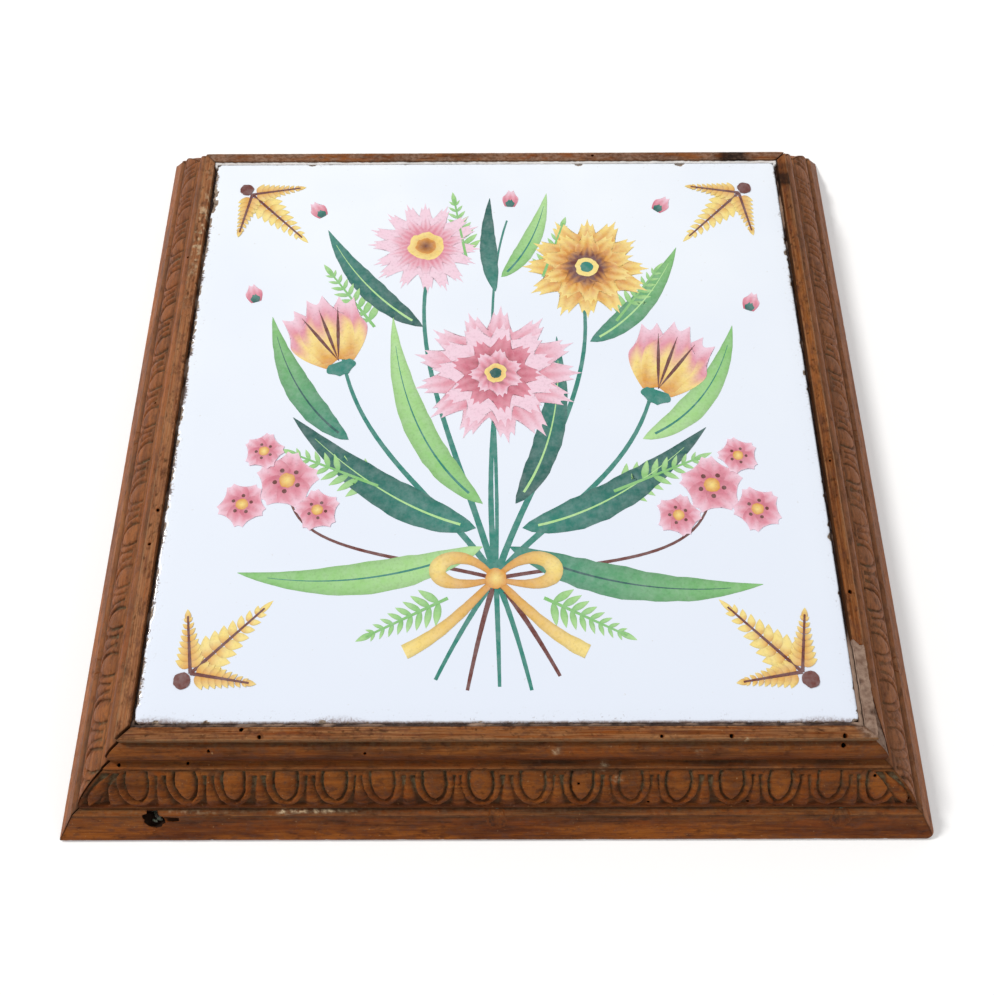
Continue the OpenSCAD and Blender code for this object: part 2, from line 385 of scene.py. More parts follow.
# Half openings of the mitres, at the tile and at the outside
SHUT, TIGHT, AJAR, OPEN = (0.05, 0.05), (0.08, 0.08), (0.35, 0.1), (0.7, 0.12)
FRONT = new_side("front", 0, -4.0, 1, 0.0, (OPEN, SHUT), FRONT_NAILS, (1, 2), leaves=True)
RIGHT = new_side("right", 90, -5.0, 2, 0.15, (SHUT, AJAR), SIDE_NAILS, (0, 1, 2), relief=0.75)
REAR = new_side("rear", 180, 1.2, 3, -0.15, (AJAR, TIGHT), FRONT_NAILS, (0, 1, 2))
LEFT = new_side("left", -90, -3.5, 4, 0.05, (TIGHT, OPEN), SIDE_NAILS, (0, 1, 2), relief=0.8)
SIDES = (FRONT, RIGHT, REAR, LEFT)


def mitre_ends(side, w):
    """Where a rail begins and ends along its length, at a distance outwards."""
    share = (w - JOINT) / (RAIL_END - JOINT)
    (left_in, left_out), (right_in, right_out) = side.gaps
    left = -(HALF + w) + left_in + (left_out - left_in) * share
    right = HALF + w - right_in - (right_out - right_in) * share
    return left, right


def carving(side, q, x, end):
    """Depth, dirt with painted shade in the deep cuts, and wear of the egg and dart at q down the band and
    x along it.
    """
    middles = (side.eggs[1:] + side.eggs[:-1]) / 2
    egg = np.searchsorted(middles, x)
    across = x - side.eggs[egg] - side.leans[egg] * (q - EGG_ABOVE)
    half_w, down = side.widths[egg], q - side.tops[egg]
    # An egg's outline lies half way between two arcs that meet in a point and an oval
    radius = (EGG_BELOW**2 + half_w**2) / (2 * half_w)
    lens = np.hypot(np.abs(across) + radius - half_w, down) - radius
    drop = np.where(down > 0, EGG_BELOW - 0.5, EGG_BELOW) / half_w
    stretched = np.hypot(across, down / drop)
    oval = (stretched - half_w) * stretched / np.maximum(np.hypot(across, down / drop**2), 0.05)
    rough = 0.16 * smooth_noise(x / 1.7, q / 1.7, side.seed * 10 + 6)
    edge = 0.5 * lens + 0.5 * oval + (rough + 0.08 * smooth_noise(x / 0.7, q / 0.7, side.seed))

    inside = np.clip(-edge / half_w, 0, 1)
    egg_depth = EGG_DEPTH + (EDGE_DEPTH - EGG_DEPTH) * (1 - inside) ** 2.2
    groove_depth = EDGE_DEPTH + GROOVE_DEPTH * np.sin(np.pi * np.clip(edge / GROOVE_W, 0, 1))
    rim = np.clip((edge - GROOVE_W) / RIM_W, 0, 1)
    rim_depth = RIM_DEPTH + (EDGE_DEPTH - RIM_DEPTH) * (2 * rim - 1) ** 2
    pocket_depth = np.minimum(EDGE_DEPTH + 1.9 * np.maximum(edge - GROOVE_W - RIM_W, 0), POCKET_DEPTH)
    dart = np.minimum(*(np.abs(x - middles[np.clip(n, 0, len(middles) - 1)]) for n in (egg - 1, egg)))
    share = np.clip((q - DART_START) / (BAND_LEN - DART_START), 0, 1)
    dart_depth = 0.2 + 0.42 * (dart / (0.5 + 1.6 * share)) ** 2.2
    past_shown = ramp(DART_START - 0.4, DART_START + 0.3, q) * ramp(BAND_LEN - 0.6, BAND_LEN - 1.3, q)
    past_depth = 0.12 + (np.minimum(pocket_depth, dart_depth) - 0.12) * past_shown

    depth = np.where(edge < 0, egg_depth, np.where(edge < GROOVE_W, groove_depth, rim_depth))
    depth = np.where(edge > GROOVE_W + RIM_W, past_depth, depth) * side.depths[egg]
    dirt = np.clip((depth - 0.45) / 0.5, 0, 1)
    wear = np.where(edge < 0, 0.35 + 0.65 * inside**0.6, np.where(rim * (1 - rim) > 0.1, 0.35, 0.0))

    if side.leaves:
        # A half leaf runs down beside each mitre, in a sunk field
        off = end * BAND_LEN / math.hypot(BAND_LEN, BAND_END - UPPER_END)
        long = np.clip((q - 1.8) / (BAND_LEN - 2.6), 0, 1)
        leaf_w = 0.2 + 1.35 * np.sin(np.pi * long) ** 0.8
        leaf = 0.1 + 0.5 * (np.abs(off - 2.5) / leaf_w) ** 1.8
        field = np.minimum(leaf, POCKET_DEPTH) * ramp(0.5, 1.2, q) * ramp(BAND_LEN - 0.4, BAND_LEN - 1.1, q)
        away = ramp(4.3, 4.9, off)
        depth = field + (depth - field) * away
        dirt = np.clip((field - 0.45) / 0.5, 0, 1) * (1 - away) + dirt * away
        wear = 0.5 * np.clip(1 - field / 0.4, 0, 1) * (1 - away) + wear * away

    shown = ramp(0.1, 0.6, q) * ramp(BAND_LEN - 0.1, BAND_LEN - 0.6, q) * ramp(0.1, 0.6, end)
    return depth * shown, dirt * shown, wear * shown


# Dust all over a stretch, and dust on its upper part; on the quirk it is painted light that lifts the
# shade, and on top of the round it is partly a painted reflection of the sky
DUST_AND_LIGHT = {"fillet": 0.12, "lower_fillet": 0.2, "quirk": 0.45}
TOP_DUST_AND_SHEEN = {"round": 0.32, "bevel": 0.16}
# The share of the dirt and painted shade in its creases that a stretch keeps, where that isn't all
DIRT_AND_SHADE_KEPT = {"quirk": 0.35, "round": 0.15, "fillet": 0.5}
# Painted shade on the inner wall, over the joint
WALL_SHADE = {"front": 0.8, "right": 1.0, "rear": 0.0, "left": 0.2}
# Pale scuffs on the front rail: place along it, distance outwards, their half sizes, strength
SCUFFS = (
    (-52.0, 20.8, 8.0, 0.45, 1.3), (-61.0, 21.0, 1.4, 0.6, 1.6), (30.1, 10.2, 1.0, 0.8, 1.5),
    (16.3, 7.2, 0.9, 0.8, 0.9), (56.0, 7.5, 0.8, 0.6, 0.7), (68.5, 4.6, 0.4, 0.4, 1.3),
    (34.0, 13.5, 1.5, 0.7, 0.7), (-90.0, 21.0, 14.0, 0.5, 0.35),
)
# Painted shade, dark and warm, by its share of the way down a stretch: low on the round, on the neck under
# it, and at the foot of the band, which is a little darker all over
SHADE_DOWN = {
    "round": lambda share: 0.75 * ramp(0.45, 1.0, share), "neck": lambda share: 0.8,
    "band": lambda share: 0.12 + 0.7 * ramp(0.78, 0.95, share),
}
# How far the wood has faded, partly painted light that makes whole sides lighter: on the carved and outer
# parts, and on the land
FADED_AND_SIDE_LIGHT = {"front": (0.0, 0.0), "right": (0.46, 0.02), "rear": (0.15, 0.0), "left": (0.22, 0.2)}
# How far the lands are worn down to bare wood
BARE = {"front": 0.75, "right": 0.4, "rear": 0.3, "left": 0.95}
# Burnt places on the lands: where along the rail, how wide, how dark
SCORCHES = {
    "rear": ((-85.5, 5.0, 1.6), (-60, 8, 0.25)),
    "right": ((92, 3.0, 1.5), (98, 2.0, 0.5)),
}


def weathered(side, row, x, end):
    """How deep the wood is worn, with dirt and painted shade, dust and painted light, and wear; end is the
    way to the mitre.
    """
    seed = side.seed * 10

    def rough(along, down, layer, kind=smooth_noise):
        return kind(x / along, row.run / down, seed + layer)

    depth = 0.05 + 0.03 * rough(19, 7, 0, layered_noise) + 0.02 * rough(2.1, 1.3, 1, layered_noise)
    wear = row.wear * (0.6 + 0.4 * rough(7, 1, 2))
    nicks = np.maximum(0, rough(1.6, 2, 3) - 0.55)
    lost = row.wear * (0.1 if side is REAR else 1.0)
    depth += lost * (0.06 + 0.12 * np.maximum(0, smooth_noise(x / 8, 0.5, seed + 4)) + 0.9 * nicks)
    depth += 0.14 * np.exp(-end / 0.5)
    dirt = row.dirt * (0.8 + 0.2 * rough(3, 1, 5)) + 0.5 * np.exp(-end / 0.4)
    dirt *= DIRT_AND_SHADE_KEPT.get(row.stretch, 1.0)
    dust = DUST_AND_LIGHT.get(row.stretch, 0.0) + TOP_DUST_AND_SHEEN.get(row.stretch, 0.0) * (1 - row.share) ** 2.5
    dust = np.full(len(x), dust)
    if row.w < JOINT + 1.0:
        wear = wear * 0.3
    # The inner wall, and on the right also the land's inner arris, are painted dark as shade
    if row.stretch == "wall" or (side is RIGHT and row.w < JOINT + 0.4):
        dirt = np.maximum(dirt, WALL_SHADE[side.name])
    if row.stretch == "land":
        pits = np.maximum(0, rough(1.3, 1, 7, layered_noise) - 0.35)
        depth += pits * (0.25 + (0.5 * bell(x, -68, 22) if side is LEFT else 0))
        dirt = np.maximum(dirt, np.clip(pits * 3, 0, 0.8))
    if row.stretch == "band":
        cut, cut_dirt_and_shade, cut_wear = carving(side, row.share * BAND_LEN, x, end)
        depth += cut + 0.07 * rough(0.9, 0.8, 11) * ramp(0, 0.2, cut)
        low = ramp(4.0, 8.0, row.share * BAND_LEN)
        dirt = np.maximum(dirt * 0.7, cut_dirt_and_shade * (1 - 0.15 * low))
        dust = cut_dirt_and_shade * (1 - 0.8 * low) * (0.55 + 0.45 * rough(4, 4, 8))
        dust += 0.16 * (1 - row.share) ** 1.5
        wear = np.maximum(wear, cut_wear)
    if row.stretch in ("wall", "edge") or row.w < JOINT + 0.2:
        depth *= 0.4
    if row.stretch == "under":
        depth = np.maximum(depth - 0.04, 0.01)
    return depth, np.clip(dirt, 0, 1), np.clip(dust, 0, 1), np.clip(wear, 0, 1)


def coloured(side, row, x, end):
    """Marks that only colour the wood: scuffed, amber, bare with a painted arris highlight, low painted
    shade, faded with painted side light, scorched, and smeared with filler; on the rear, painted light on
    the shaded wall.
    """
    none = np.zeros(len(x))
    scuff, smear, on_land, over_putty = none, none, row.stretch == "land", row.z > PUTTY_FOOT
    if side is FRONT:
        broken = 0.1 + 0.9 * ramp(-0.1, 0.3, layered_noise(x / 0.9, row.run / 0.6, 19))
        for place, out, long, wide, strength in SCUFFS:
            scuff = scuff + strength * bell(x, place, long) * bell(row.w, out, wide) * broken
        if row.w < LAND_END and on_land:
            by_filler = x - 0.55 * (row.w - JOINT) + 1.4 * layered_noise(x / 2, row.run / 2, 21)
            smear = ramp(97.2, 99.6, by_filler)
    if side is LEFT and on_land:
        scuff = 0.8 * bell(x, -70, 22) * ramp(0.0, 0.4, layered_noise(x / 1.5, row.run / 1.2, 23))
    # Painted light: on the rear, the shaded inner wall and the land's edge over the joint are painted pale
    if side is REAR and row.w < LAND_END and over_putty:
        smear = 0.75 * ramp(-0.6, 0.3, layered_noise(x / 4, row.run / 1.5, 24))
        scuff = none + (row.stretch == "wall")
    amber = (ramp(0.2, 0.8, row.share) if row.stretch == "bevel" else 0.0) + (row.stretch == "edge")
    # Painted shade low on the round, on the neck and at the band's foot; some eggs are also darker in tone
    deep = SHADE_DOWN.get(row.stretch, lambda share: 0.0)(row.share)
    if row.stretch == "band":
        glow = side.glow[np.searchsorted((side.eggs[1:] + side.eggs[:-1]) / 2, x)]
        on_egg = np.clip(2 * carving(side, row.share * BAND_LEN, x, end)[2] - 0.8, 0, 1)
        amber = amber + glow * on_egg
        deep = deep + np.maximum(0, 0.7 - glow) * on_egg
    scorch = sum(strength * bell(x, place, wide) for place, wide, strength in SCORCHES.get(side.name, ()))
    marks = {
        "scuff": scuff, "smear": smear, "amber": amber, "deep": deep, "fade": FADED_AND_SIDE_LIGHT[side.name][on_land],
        # bare wood on the lands, and along every convex arris a painted highlight with rubbed wear
        "bare": BARE[side.name] * (on_land or row.stretch == "quirk") + 0.6 * row.wear,
        "scorch": scorch * (row.w < LAND_END + 0.1 and over_putty),
    }
    return {key: np.clip(none + values, 0, 1) for key, values in marks.items()}


def worn_corner(side, w, x):
    """How far the outer corner at the front and right is rounded off, on both rails that meet there."""
    if side is not FRONT and side is not RIGHT:
        return 0.0
    tip = HALF + RAIL_END - (x if side is FRONT else -x)
    along = CORNER_WORN_R * np.linspace(1 - math.sqrt(0.5), 1, 12)
    cut = CORNER_WORN_R - np.sqrt(CORNER_WORN_R**2 - (CORNER_WORN_R - along) ** 2)
    return np.interp(tip, along - cut, cut) * np.clip((w - RAIL_END) / CORNER_WORN_REACH + 1, 0, 1)


def rail_shape(side, surface=weathered):
    """A closed rail, mitred at both ends, whose surface follows one of the surface functions."""
    points, starts, found = [], [], []
    for row in ROWS:
        u = np.linspace(0, 1, row.columns + 1)
        left, right = mitre_ends(side, row.w)
        x = left + (right - left) * u
        depth, dirt, dust, wear = surface(side, row, x, np.minimum(x - left, right - x))
        w, z = row.w - row.nw * depth, np.maximum(row.z - row.nz * depth, 0)
        w = w - worn_corner(side, row.w, x)
        left, right = mitre_ends(side, w)
        x = left + (right - left) * u
        starts.append(len(points))
        points.extend(np.column_stack([x, -(HALF + w), z]))
        grain = np.column_stack([x + GRAIN_SHIFT[0] * side.seed, w + GRAIN_SHIFT[1] * side.seed, z])
        marks = coloured(side, row, x, np.minimum(x - left, right - x))
        found.append({**marks, "grain": grain, "dirt": dirt, "dust": dust, "wear": wear})
    faces = []
    for n, row in enumerate(ROWS):
        after = (n + 1) % len(ROWS)
        faces += between(starts[n], row.columns, starts[after], ROWS[after].columns)
    faces.append(starts[::-1])
    faces.append([start + row.columns for start, row in zip(starts, ROWS)])
    marks = {key: np.concatenate([row_marks[key] for row_marks in found]) for key in found[0]}
    marks["tone"] = np.full(len(points), side.tone)
    return turned(points, side.turn), faces, marks


# Beetle holes, by rail: place along it, distance outwards, radius
HOLES = {
    "front": (
        (-69.9, 1.9, 0.55), (-64.8, 3.7, 0.55), (45.2, 3.9, 0.45), (64.3, 3.9, 0.6), (95.3, 3.7, 0.65),
        (95.5, 5.6, 0.65), (-79.3, 7.1, 0.5), (-36.2, 7.6, 0.45), (-86.3, 9.4, 0.45), (-105.6, 9.7, 0.5),
        (116.6, 18.9, 0.7), (105.9, 12.9, 0.45), (23.0, 14.6, 0.4), (43.2, 19.2, 0.4), (71.5, 19.2, 0.45),
    ),
    "right": ((-62.5, 2.8, 0.6), (-20.0, 3.1, 0.4), (31.0, 15.5, 0.45)),
    "left": ((36.0, 2.2, 0.5), (47.0, 3.1, 0.45), (-8.0, 13.0, 0.45), (-61.0, 6.5, 0.45)),
    "rear": ((-35.0, 3.0, 0.5), (12.0, 7.5, 0.45), (64.0, 15.0, 0.5)),
}


def top_row(w):
    """The row of the moulding's upper side at a distance outwards."""
    upper = [row for row in ROWS if row.nz > 0.15 or row.nw > 0.5]
    return min((row for row in upper if row.stretch != "edge"), key=lambda row: abs(row.w - w))


def hole_shapes(side):
    """What is bored out of a rail: beetle holes, and the nails with their sunk holes."""
    shapes = []
    for n, (x, w, radius) in enumerate(HOLES[side.name]):
        row = top_row(w)
        axis = (0.25 * math.sin(5 * n), -row.nw, row.nz)
        outline = [(-HOLE_DEPTH, radius * 0.7), (-1.0, radius), (HOLE_OVER, radius)]
        shapes.append(lathe(outline, (x, -(HALF + row.w), row.z), axis, 12, 0.25, n))
    end = NAIL_HEAD_W - RAIL_END
    for n, x in enumerate(side.nails):
        swell, wobble = (1.06, 0.22) if side is FRONT and n == 0 else (1.0, 0.0)
        outline = [(end - NAIL_LEN + 2, NAIL_R + NAIL_CLEAR), (end, NAIL_R + NAIL_CLEAR)]
        outline += [(height, SINK_R * swell) for height in np.arange(end, SINK_OVER, 0.4)]
        shapes.append(lathe(outline, (x, -(HALF + RAIL_END), NAIL_Z), OUTWARDS, 32, wobble, 3))
    if side is FRONT:
        # A tapering dent runs on from the open nail hole
        at = (FRONT_NAILS[0] + SINK_R * 0.6, -(HALF + LOWER_END + 0.7), NAIL_Z + 0.3)
        outline = [(0, 0.9), (1.2, 1.0), (2.4, 0.95), (3.6, 1.05), (4.8, 0.95), (5.6, 0.85)]
        shapes.append(lathe(outline, at, (1, 0, -0.04), 12, 0.3, 5))
    return shapes


# The repair, in its rail's own place: an outline of points along the rail and outwards
REPAIR = (
    (-77.4, -0.5), (-76.6, 1.6), (-78.3, 3.2), (-78.0, 5.4), (-85.0, 5.1), (-92.0, 5.6), (-98.0, 6.4),
    (-103.0, 7.6), (-108.9, 8.9), (-114.0, 8.9), (-108.0, -0.5),
)
# Dents in the repair: place along the rail, distance outwards, size and depth
DENTS = ((-88.7, 2.2, 0.8, 0.7), (-91.2, 3.2, 0.7, 0.6), (-97.4, 4.1, 0.9, 0.8), (-103, 2.6, 1.6, 0.5))


def repair_block():
    """The closed upright block that the repair fills."""
    count, top = len(REPAIR), FRAME_TOP + REPAIR_OVER
    points = np.array([(x, -(HALF + w), z) for z in (FILLER_FOOT, top) for x, w in REPAIR])
    faces = [list(range(count))[::-1], list(range(count, 2 * count))]
    faces += [[k, (k + 1) % count, count + (k + 1) % count, count + k] for k in range(count)]
    return on_side(RIGHT, points, faces)


def lumpy(side, row, x, end):
    """The filler was pressed in by hand, so its surface is uneven and dented."""
    depth = 0.3 + 0.22 * layered_noise(x / 3.1, row.run / 2.4, 61)
    depth += 0.16 * layered_noise(x / 0.9, row.run / 0.9, 62)
    for place, w, size, deep in DENTS:
        depth += deep * bell(x, place, size) * bell(row.w, w, size)
    depth = np.maximum(depth, 0.02)
    nothing = np.zeros(len(x))
    return depth, np.clip(depth - 0.4, 0, 1), nothing, nothing


def build_rail(side, material):
    made = new_object("wood_" + side.name, *rail_shape(side))
    shapes = [on_side(side, *shape) for shape in hole_shapes(side)]
    # The dent overlaps the nail hole, so it is cut by itself
    dent = shapes.pop() if side is FRONT else None
    combine(made, *joined(shapes), "DIFFERENCE")
    if dent:
        combine(made, *dent, "DIFFERENCE", hole_shade=0.6)
    if side is RIGHT:
        combine(made, *repair_block(), "DIFFERENCE")
    return dress(made, material, "frame_wood", "rail_" + side.name)


def build_filler(material):
    made = new_object("repair_filler", *rail_shape(RIGHT, lumpy))
    combine(made, *repair_block(), "INTERSECT")
    return dress(made, material, "filler", "corner_filler")


def build_plugs(material):
    """All the plugs as one piece: the parts of four rails that lie inside the plugs' cylinders."""
    bars = [rail_shape(side) for side in SIDES]
    points, faces = joined([bar[:2] for bar in bars])
    marks = {key: np.concatenate([bar[2][key] for bar in bars]) for key in bars[0][2]}
    marks["grain"] = marks["grain"][:, ::-1] + 900
    marks["tone"] = marks["tone"] - 0.25
    made = new_object("plugs", points, faces, marks)
    shapes = []
    for side in SIDES:
        for n in side.plugged:
            outline = [(NAIL_HEAD_W - RAIL_END, PLUG_R), (PLUG_OVER, PLUG_R)]
            at = (side.nails[n], -(HALF + RAIL_END), NAIL_Z)
            shapes.append(on_side(side, *lathe(outline, at, OUTWARDS, 32)))
    combine(made, *joined(shapes), "INTERSECT")
    return dress(made, material, "plug_wood", "nail_plugs")


# Bent scraps of the broken nail head, on the lower wall of its hole: how far right, out and up of
# the head's middle, the way they point, half length, thickness
SCRAPS = (
    (0.3, 0.7, -1.4, (0.3, -1, -0.2), 1.3, 0.75), (1.1, 1.9, -1.9, (1, -0.4, 0.1), 1.0, 0.5),
    (-0.3, 2.3, -2.1, (1, -0.7, 0), 0.9, 0.45), (1.4, 1.2, -1.1, (0.2, -1, 0.5), 0.8, 0.4),
)


def build_nails(material):
    shapes = []
    for side in SIDES:
        for n, x in enumerate(side.nails):
            y, broken = -(HALF + NAIL_HEAD_W), side is FRONT and n == 0
            head, wobble = (NAIL_HEAD_R - 0.5, 0.3) if broken else (NAIL_HEAD_R, 0.06)
            outline = [(-NAIL_LEN, 0.3), (-NAIL_LEN + 3, NAIL_R), (-NAIL_HEAD_H - 0.1, NAIL_R)]
            outline += [(-NAIL_HEAD_H, head), (-0.15, head), (0, head - 0.3)]
            for right, out, up, way, long, thick in SCRAPS if broken else ():
                shares = ((-1, 0.3), (-0.5, 0.9), (0.4, 1), (1, 0.4))
                scrap = [(long * share, thick * girth) for share, girth in shares]
                at = (x + right, y - out, NAIL_Z + up)
                shapes.append(on_side(side, *lathe(scrap, at, way, 9, 0.5, 7)))
            shapes.append(on_side(side, *lathe(outline, (x, y, NAIL_Z), OUTWARDS, 24, wobble, n)))
    return dress(new_object("nails", *joined(shapes)), material, "nail_iron", "rail_nails")


# The tile

# Spacing of the face's points near its edge and elsewhere, and how far in the edge's spacing goes
EDGE_STEP, FACE_STEP, EDGE_W = 0.35, 0.85, 6.0
# How far below the face a second row of points runs round the tile's side
EDGE_DROP = 2.0
CORNER_R = 1.8
# How far the face sinks towards the edge, and the roll of the glaze: its width and its drop
SAG, ROLL_W, ROLL_DROP = 0.18, 0.5, 0.36
# Bites out of the tile's edge: place, radius and depth
BITES = (
    (-99.9, 86.5, 2.0, 0.9), (-99.9, 82.5, 2.4, 1.2), (-99.9, 79.8, 1.6, 0.8), (88.0, -100.1, 0.8, 0.25),
    (93.5, -100.2, 0.9, 0.3), (99.0, -99.9, 1.1, 0.35), (-94.0, -99.9, 1.0, 0.4), (-80.0, -100.0, 1.0, 0.4),
    (-48.0, -100.0, 1.2, 0.4), (-99.9, -41.0, 1.1, 0.5), (99.9, 60.0, 1.3, 0.6), (99.9, 12.0, 1.0, 0.4),
    (30.0, 99.9, 1.4, 0.6), (-66.0, 99.9, 1.2, 0.5), (66.0, 99.9, 1.6, 0.6), (99.9, -45.0, 1.1, 0.5),
)
# Where grime creeps in over the front edge: place, width and reach
SOILED = ((-93, 8, 1.7), (-44, 7, 1.9), (91, 8, 1.3))


def edge_distance(x, y):
    """How far inside the tile's rounded outline a point lies."""
    dx, dy = HALF - np.abs(x), HALF - np.abs(y)
    inner = np.hypot(np.minimum(dx - CORNER_R, 0), np.minimum(dy - CORNER_R, 0))
    return np.where((dx < CORNER_R) & (dy < CORNER_R), CORNER_R - inner, np.minimum(dx, dy))


def tile_wear(x, y):
    """How much is chipped off the tile's face at a point, in millimetres."""
    e = edge_distance(x, y)
    lost = np.zeros(np.shape(x))
    for place_x, place_y, radius, deep in BITES:
        far = np.hypot(x - place_x, y - place_y) * (1 + 0.25 * smooth_noise(x / 0.9, y / 0.9, 71))
        lost = np.maximum(lost, deep * ramp(1, 0.45, far / radius))
    ragged = ramp(-96, -98, x) + 0.2 * ramp(96, 98, x)
    nicks = layered_noise(x / 1.3, y / 1.3, 72, 2) - 0.35 + 0.5 * ragged - 0.7 * e
    return np.maximum(lost, np.clip(nicks * 1.5, 0, 0.4))


def tile_height(x, y):
    """The height of the glazed face, which sags and rolls over towards its edge."""
    e = edge_distance(x, y)
    height = TILE_TOP - 0.02 + 0.02 * layered_noise(x / 23, y / 23, 73)
    height = height - SAG * np.clip(1 - e / EDGE_W, 0, 1) ** 2.2
    over = np.clip(1 - e / ROLL_W, 0, 1)
    return height - ROLL_DROP * (1 - np.sqrt(1 - np.minimum(over, 0.999) ** 2)) - tile_wear(x, y)


def tile_marks(x, y, body):
    """The tile's marks; its points from number body on lie below the glaze."""
    reach = 0.7 + 0.5 * layered_noise(x / 5, 0.5, 77)
    reach = reach + sum(far * bell(x, place, wide) for place, wide, far in SOILED)
    chip = np.clip(tile_wear(x, y) * 4, 0, 1)
    chip[body:] = 1
    # Less grime lies on the rear edge, and less on the side edges than on the front one
    edge = edge_distance(x, y) + 1.2 * ramp(95, 98, y) + 0.5 * ramp(95, 98, x) + 0.3 * ramp(-95, -98, x)
    return {
        "edge": edge,
        "chip": chip,
        "ragged": 0.85 * ramp(-90, -97, x) + ramp(90, 97, x) * (0.05 + 0.2 * ramp(-30, 40, y)),
        # near: painted shade, the glaze darker and bluer towards the front edge
        "near": np.clip((HALF - y) / (2 * HALF), 0, 1),
        "soiled": ramp(1, 0.15, (y + HALF) / reach),
    }


def build_tile(material):
    rim = np.arange(0, EDGE_W, EDGE_STEP)
    first = rim[-1] + EDGE_STEP
    inner = np.linspace(first, 2 * HALF - first, math.ceil(2 * HALF / FACE_STEP))
    line = np.concatenate([rim, inner, 2 * HALF - rim[::-1]]) - HALF
    x, y = (grid.ravel() for grid in np.meshgrid(line, line))
    # The square corners of the grid are drawn in to the rounded corners
    a, b = np.abs(x) - (HALF - CORNER_R), np.abs(y) - (HALF - CORNER_R)
    corner = (a > 0) & (b > 0)
    shrink = np.where(corner, np.maximum(a, b) / np.maximum(np.hypot(a, b), 1e-9), 1)
    x = np.where(corner, np.sign(x) * (HALF - CORNER_R + a * shrink), x)
    y = np.where(corner, np.sign(y) * (HALF - CORNER_R + b * shrink), y)
    top = np.column_stack([x, y, tile_height(x, y)])
    faces, rim = grid_faces(len(line), len(line))
    middle, low = top[rim] - [0, 0, EDGE_DROP], top[rim]
    low[:, 2] = TILE_FOOT
    start, around = len(top), len(rim)
    k = start + np.arange(around)
    after = start + (np.arange(around) + 1) % around
    upper = np.column_stack([rim, k, after, np.roll(rim, -1)])
    lower = np.column_stack([k, k + around, after + around, after])
    sides = np.stack([upper, lower], 1).reshape(-1, 4)
    faces = [*faces.tolist(), *sides.tolist(), (k + around)[::-1].tolist()]
    points = np.concatenate([top, middle, low])
    made = new_object("tile_body", points, faces, tile_marks(points[:, 0], points[:, 1], start))
    return dress(made, material, "glazed_tile", "tile", sharp=60)


# The putty: the usual height of its top, the steps along a side, and its play next to tile and wood
PUTTY_LEVEL, PUTTY_STEPS, TILE_PLAY, WOOD_PLAY = 29.5, 420, 0.02, 0.03
# Its outline across the joint: distance from the tile, and share of the height
PUTTY_SECTION = (
    (TILE_PLAY, 0.0), (TILE_PLAY, 0.8), (0.3, 1.0), (0.55, 1.05), (0.8, 0.95),
    (JOINT - WOOD_PLAY, 0.85), (JOINT - WOOD_PLAY, 0.0),
)


def build_putty(material):
    """A ring of old putty round the tile, uneven on top."""
    corner = HALF + JOINT / 2
    side = corner * np.linspace(-1, 1, PUTTY_STEPS, endpoint=False)
    side = np.column_stack([side, np.full(len(side), -corner), 0 * side])
    loop = np.concatenate([turned(side, 90 * k) for k in range(4)])
    x, y, ring = loop[:, 0], loop[:, 1], len(loop)

    def blots(size, seed, low, high):
        return ramp(low, high, layered_noise(x / size, y / size, seed))

    by_filler = ramp(98, 99.5, x) * ramp(-72, -80, y)
    rear = ramp(98, 99.5, y)
    pale = np.max([
        ramp(70, 73, y) * ramp(87, 84, y) * (x > 0),
        0.7 * blots(9, 82, 0.1, 0.5) * (x > 0) * ramp(50, 80, y),
        0.5 * blots(7, 83, 0.3, 0.6),
        0.7 * blots(5, 86, -0.1, 0.4) * (x < 0) * ramp(-60, 0, y),
        0.85 * by_filler,
    ], axis=0)
    top = PUTTY_LEVEL + 0.6 * layered_noise(x / 2.3, y / 2.3, 81) + 0.9 * pale + 0.8 * ramp(-98, -99.5, y)
    top = np.clip(top + 2.0 * rear + 0.6 * by_filler, PUTTY_FOOT + 1, FRAME_TOP - 0.7)
    points = []
    for out, share in PUTTY_SECTION:
        edge = top + 0.25 * layered_noise(x / 1.1 + out, y / 1.1, 84)
        z = PUTTY_FOOT + (share > 0) * (edge - PUTTY_FOOT) * (0.97 + 0.03 * share)
        scale = (HALF + out) / corner
        points.append(np.column_stack([x * scale, y * scale, z]))
    points = np.concatenate(points)
    faces = []
    for n in range(len(PUTTY_SECTION)):
        faces += between(n * ring, ring, ((n + 1) % len(PUTTY_SECTION)) * ring, ring, closed=True)
    # Along the front, the half of the joint next to the tile holds pale grime in places
    front = ramp(-98, -99.5, y) * blots(4, 85, -0.2, 0.4)
    near = [ramp(0.8, 0.35, out) for out, _ in PUTTY_SECTION]
    marks = {
        "pale": np.concatenate([np.clip(pale + 0.8 * front * share, 0, 1) for share in near]),
        "white": np.tile(rear * (0.85 + 0.15 * layered_noise(x / 4, y / 4, 87)), len(near)),
    }
    made = new_object("putty_ring", points, outward(points, faces), marks)
    return dress(made, material, "putty", "edge_putty")


# The painting on the tile: a bouquet of garden flowers in enamel colours, as thin raised plates

INKS = {
    "pale_pink": (240, 205, 220), "pink": (222, 140, 158), "rose": (196, 96, 116), "maroon": (100, 40, 30),
    "ochre": (215, 145, 55), "yellow": (245, 220, 130), "teal": (30, 125, 110), "deep_teal": (18, 84, 78),
    "green": (175, 220, 145), "leaf": (128, 190, 110),
}


def linear(red, green, blue):
    """A colour seen on a screen, as amounts of light."""
    parts = np.array([red, green, blue]) / 255
    return np.where(parts <= 0.04045, parts / 12.92, ((parts + 0.055) / 1.055) ** 2.4)


INK = {name: linear(*value) for name, value in INKS.items()}
PAINT = SimpleNamespace(points=[], faces=[], colours=[])
LIFT, LAYER = 0.02, 0.012


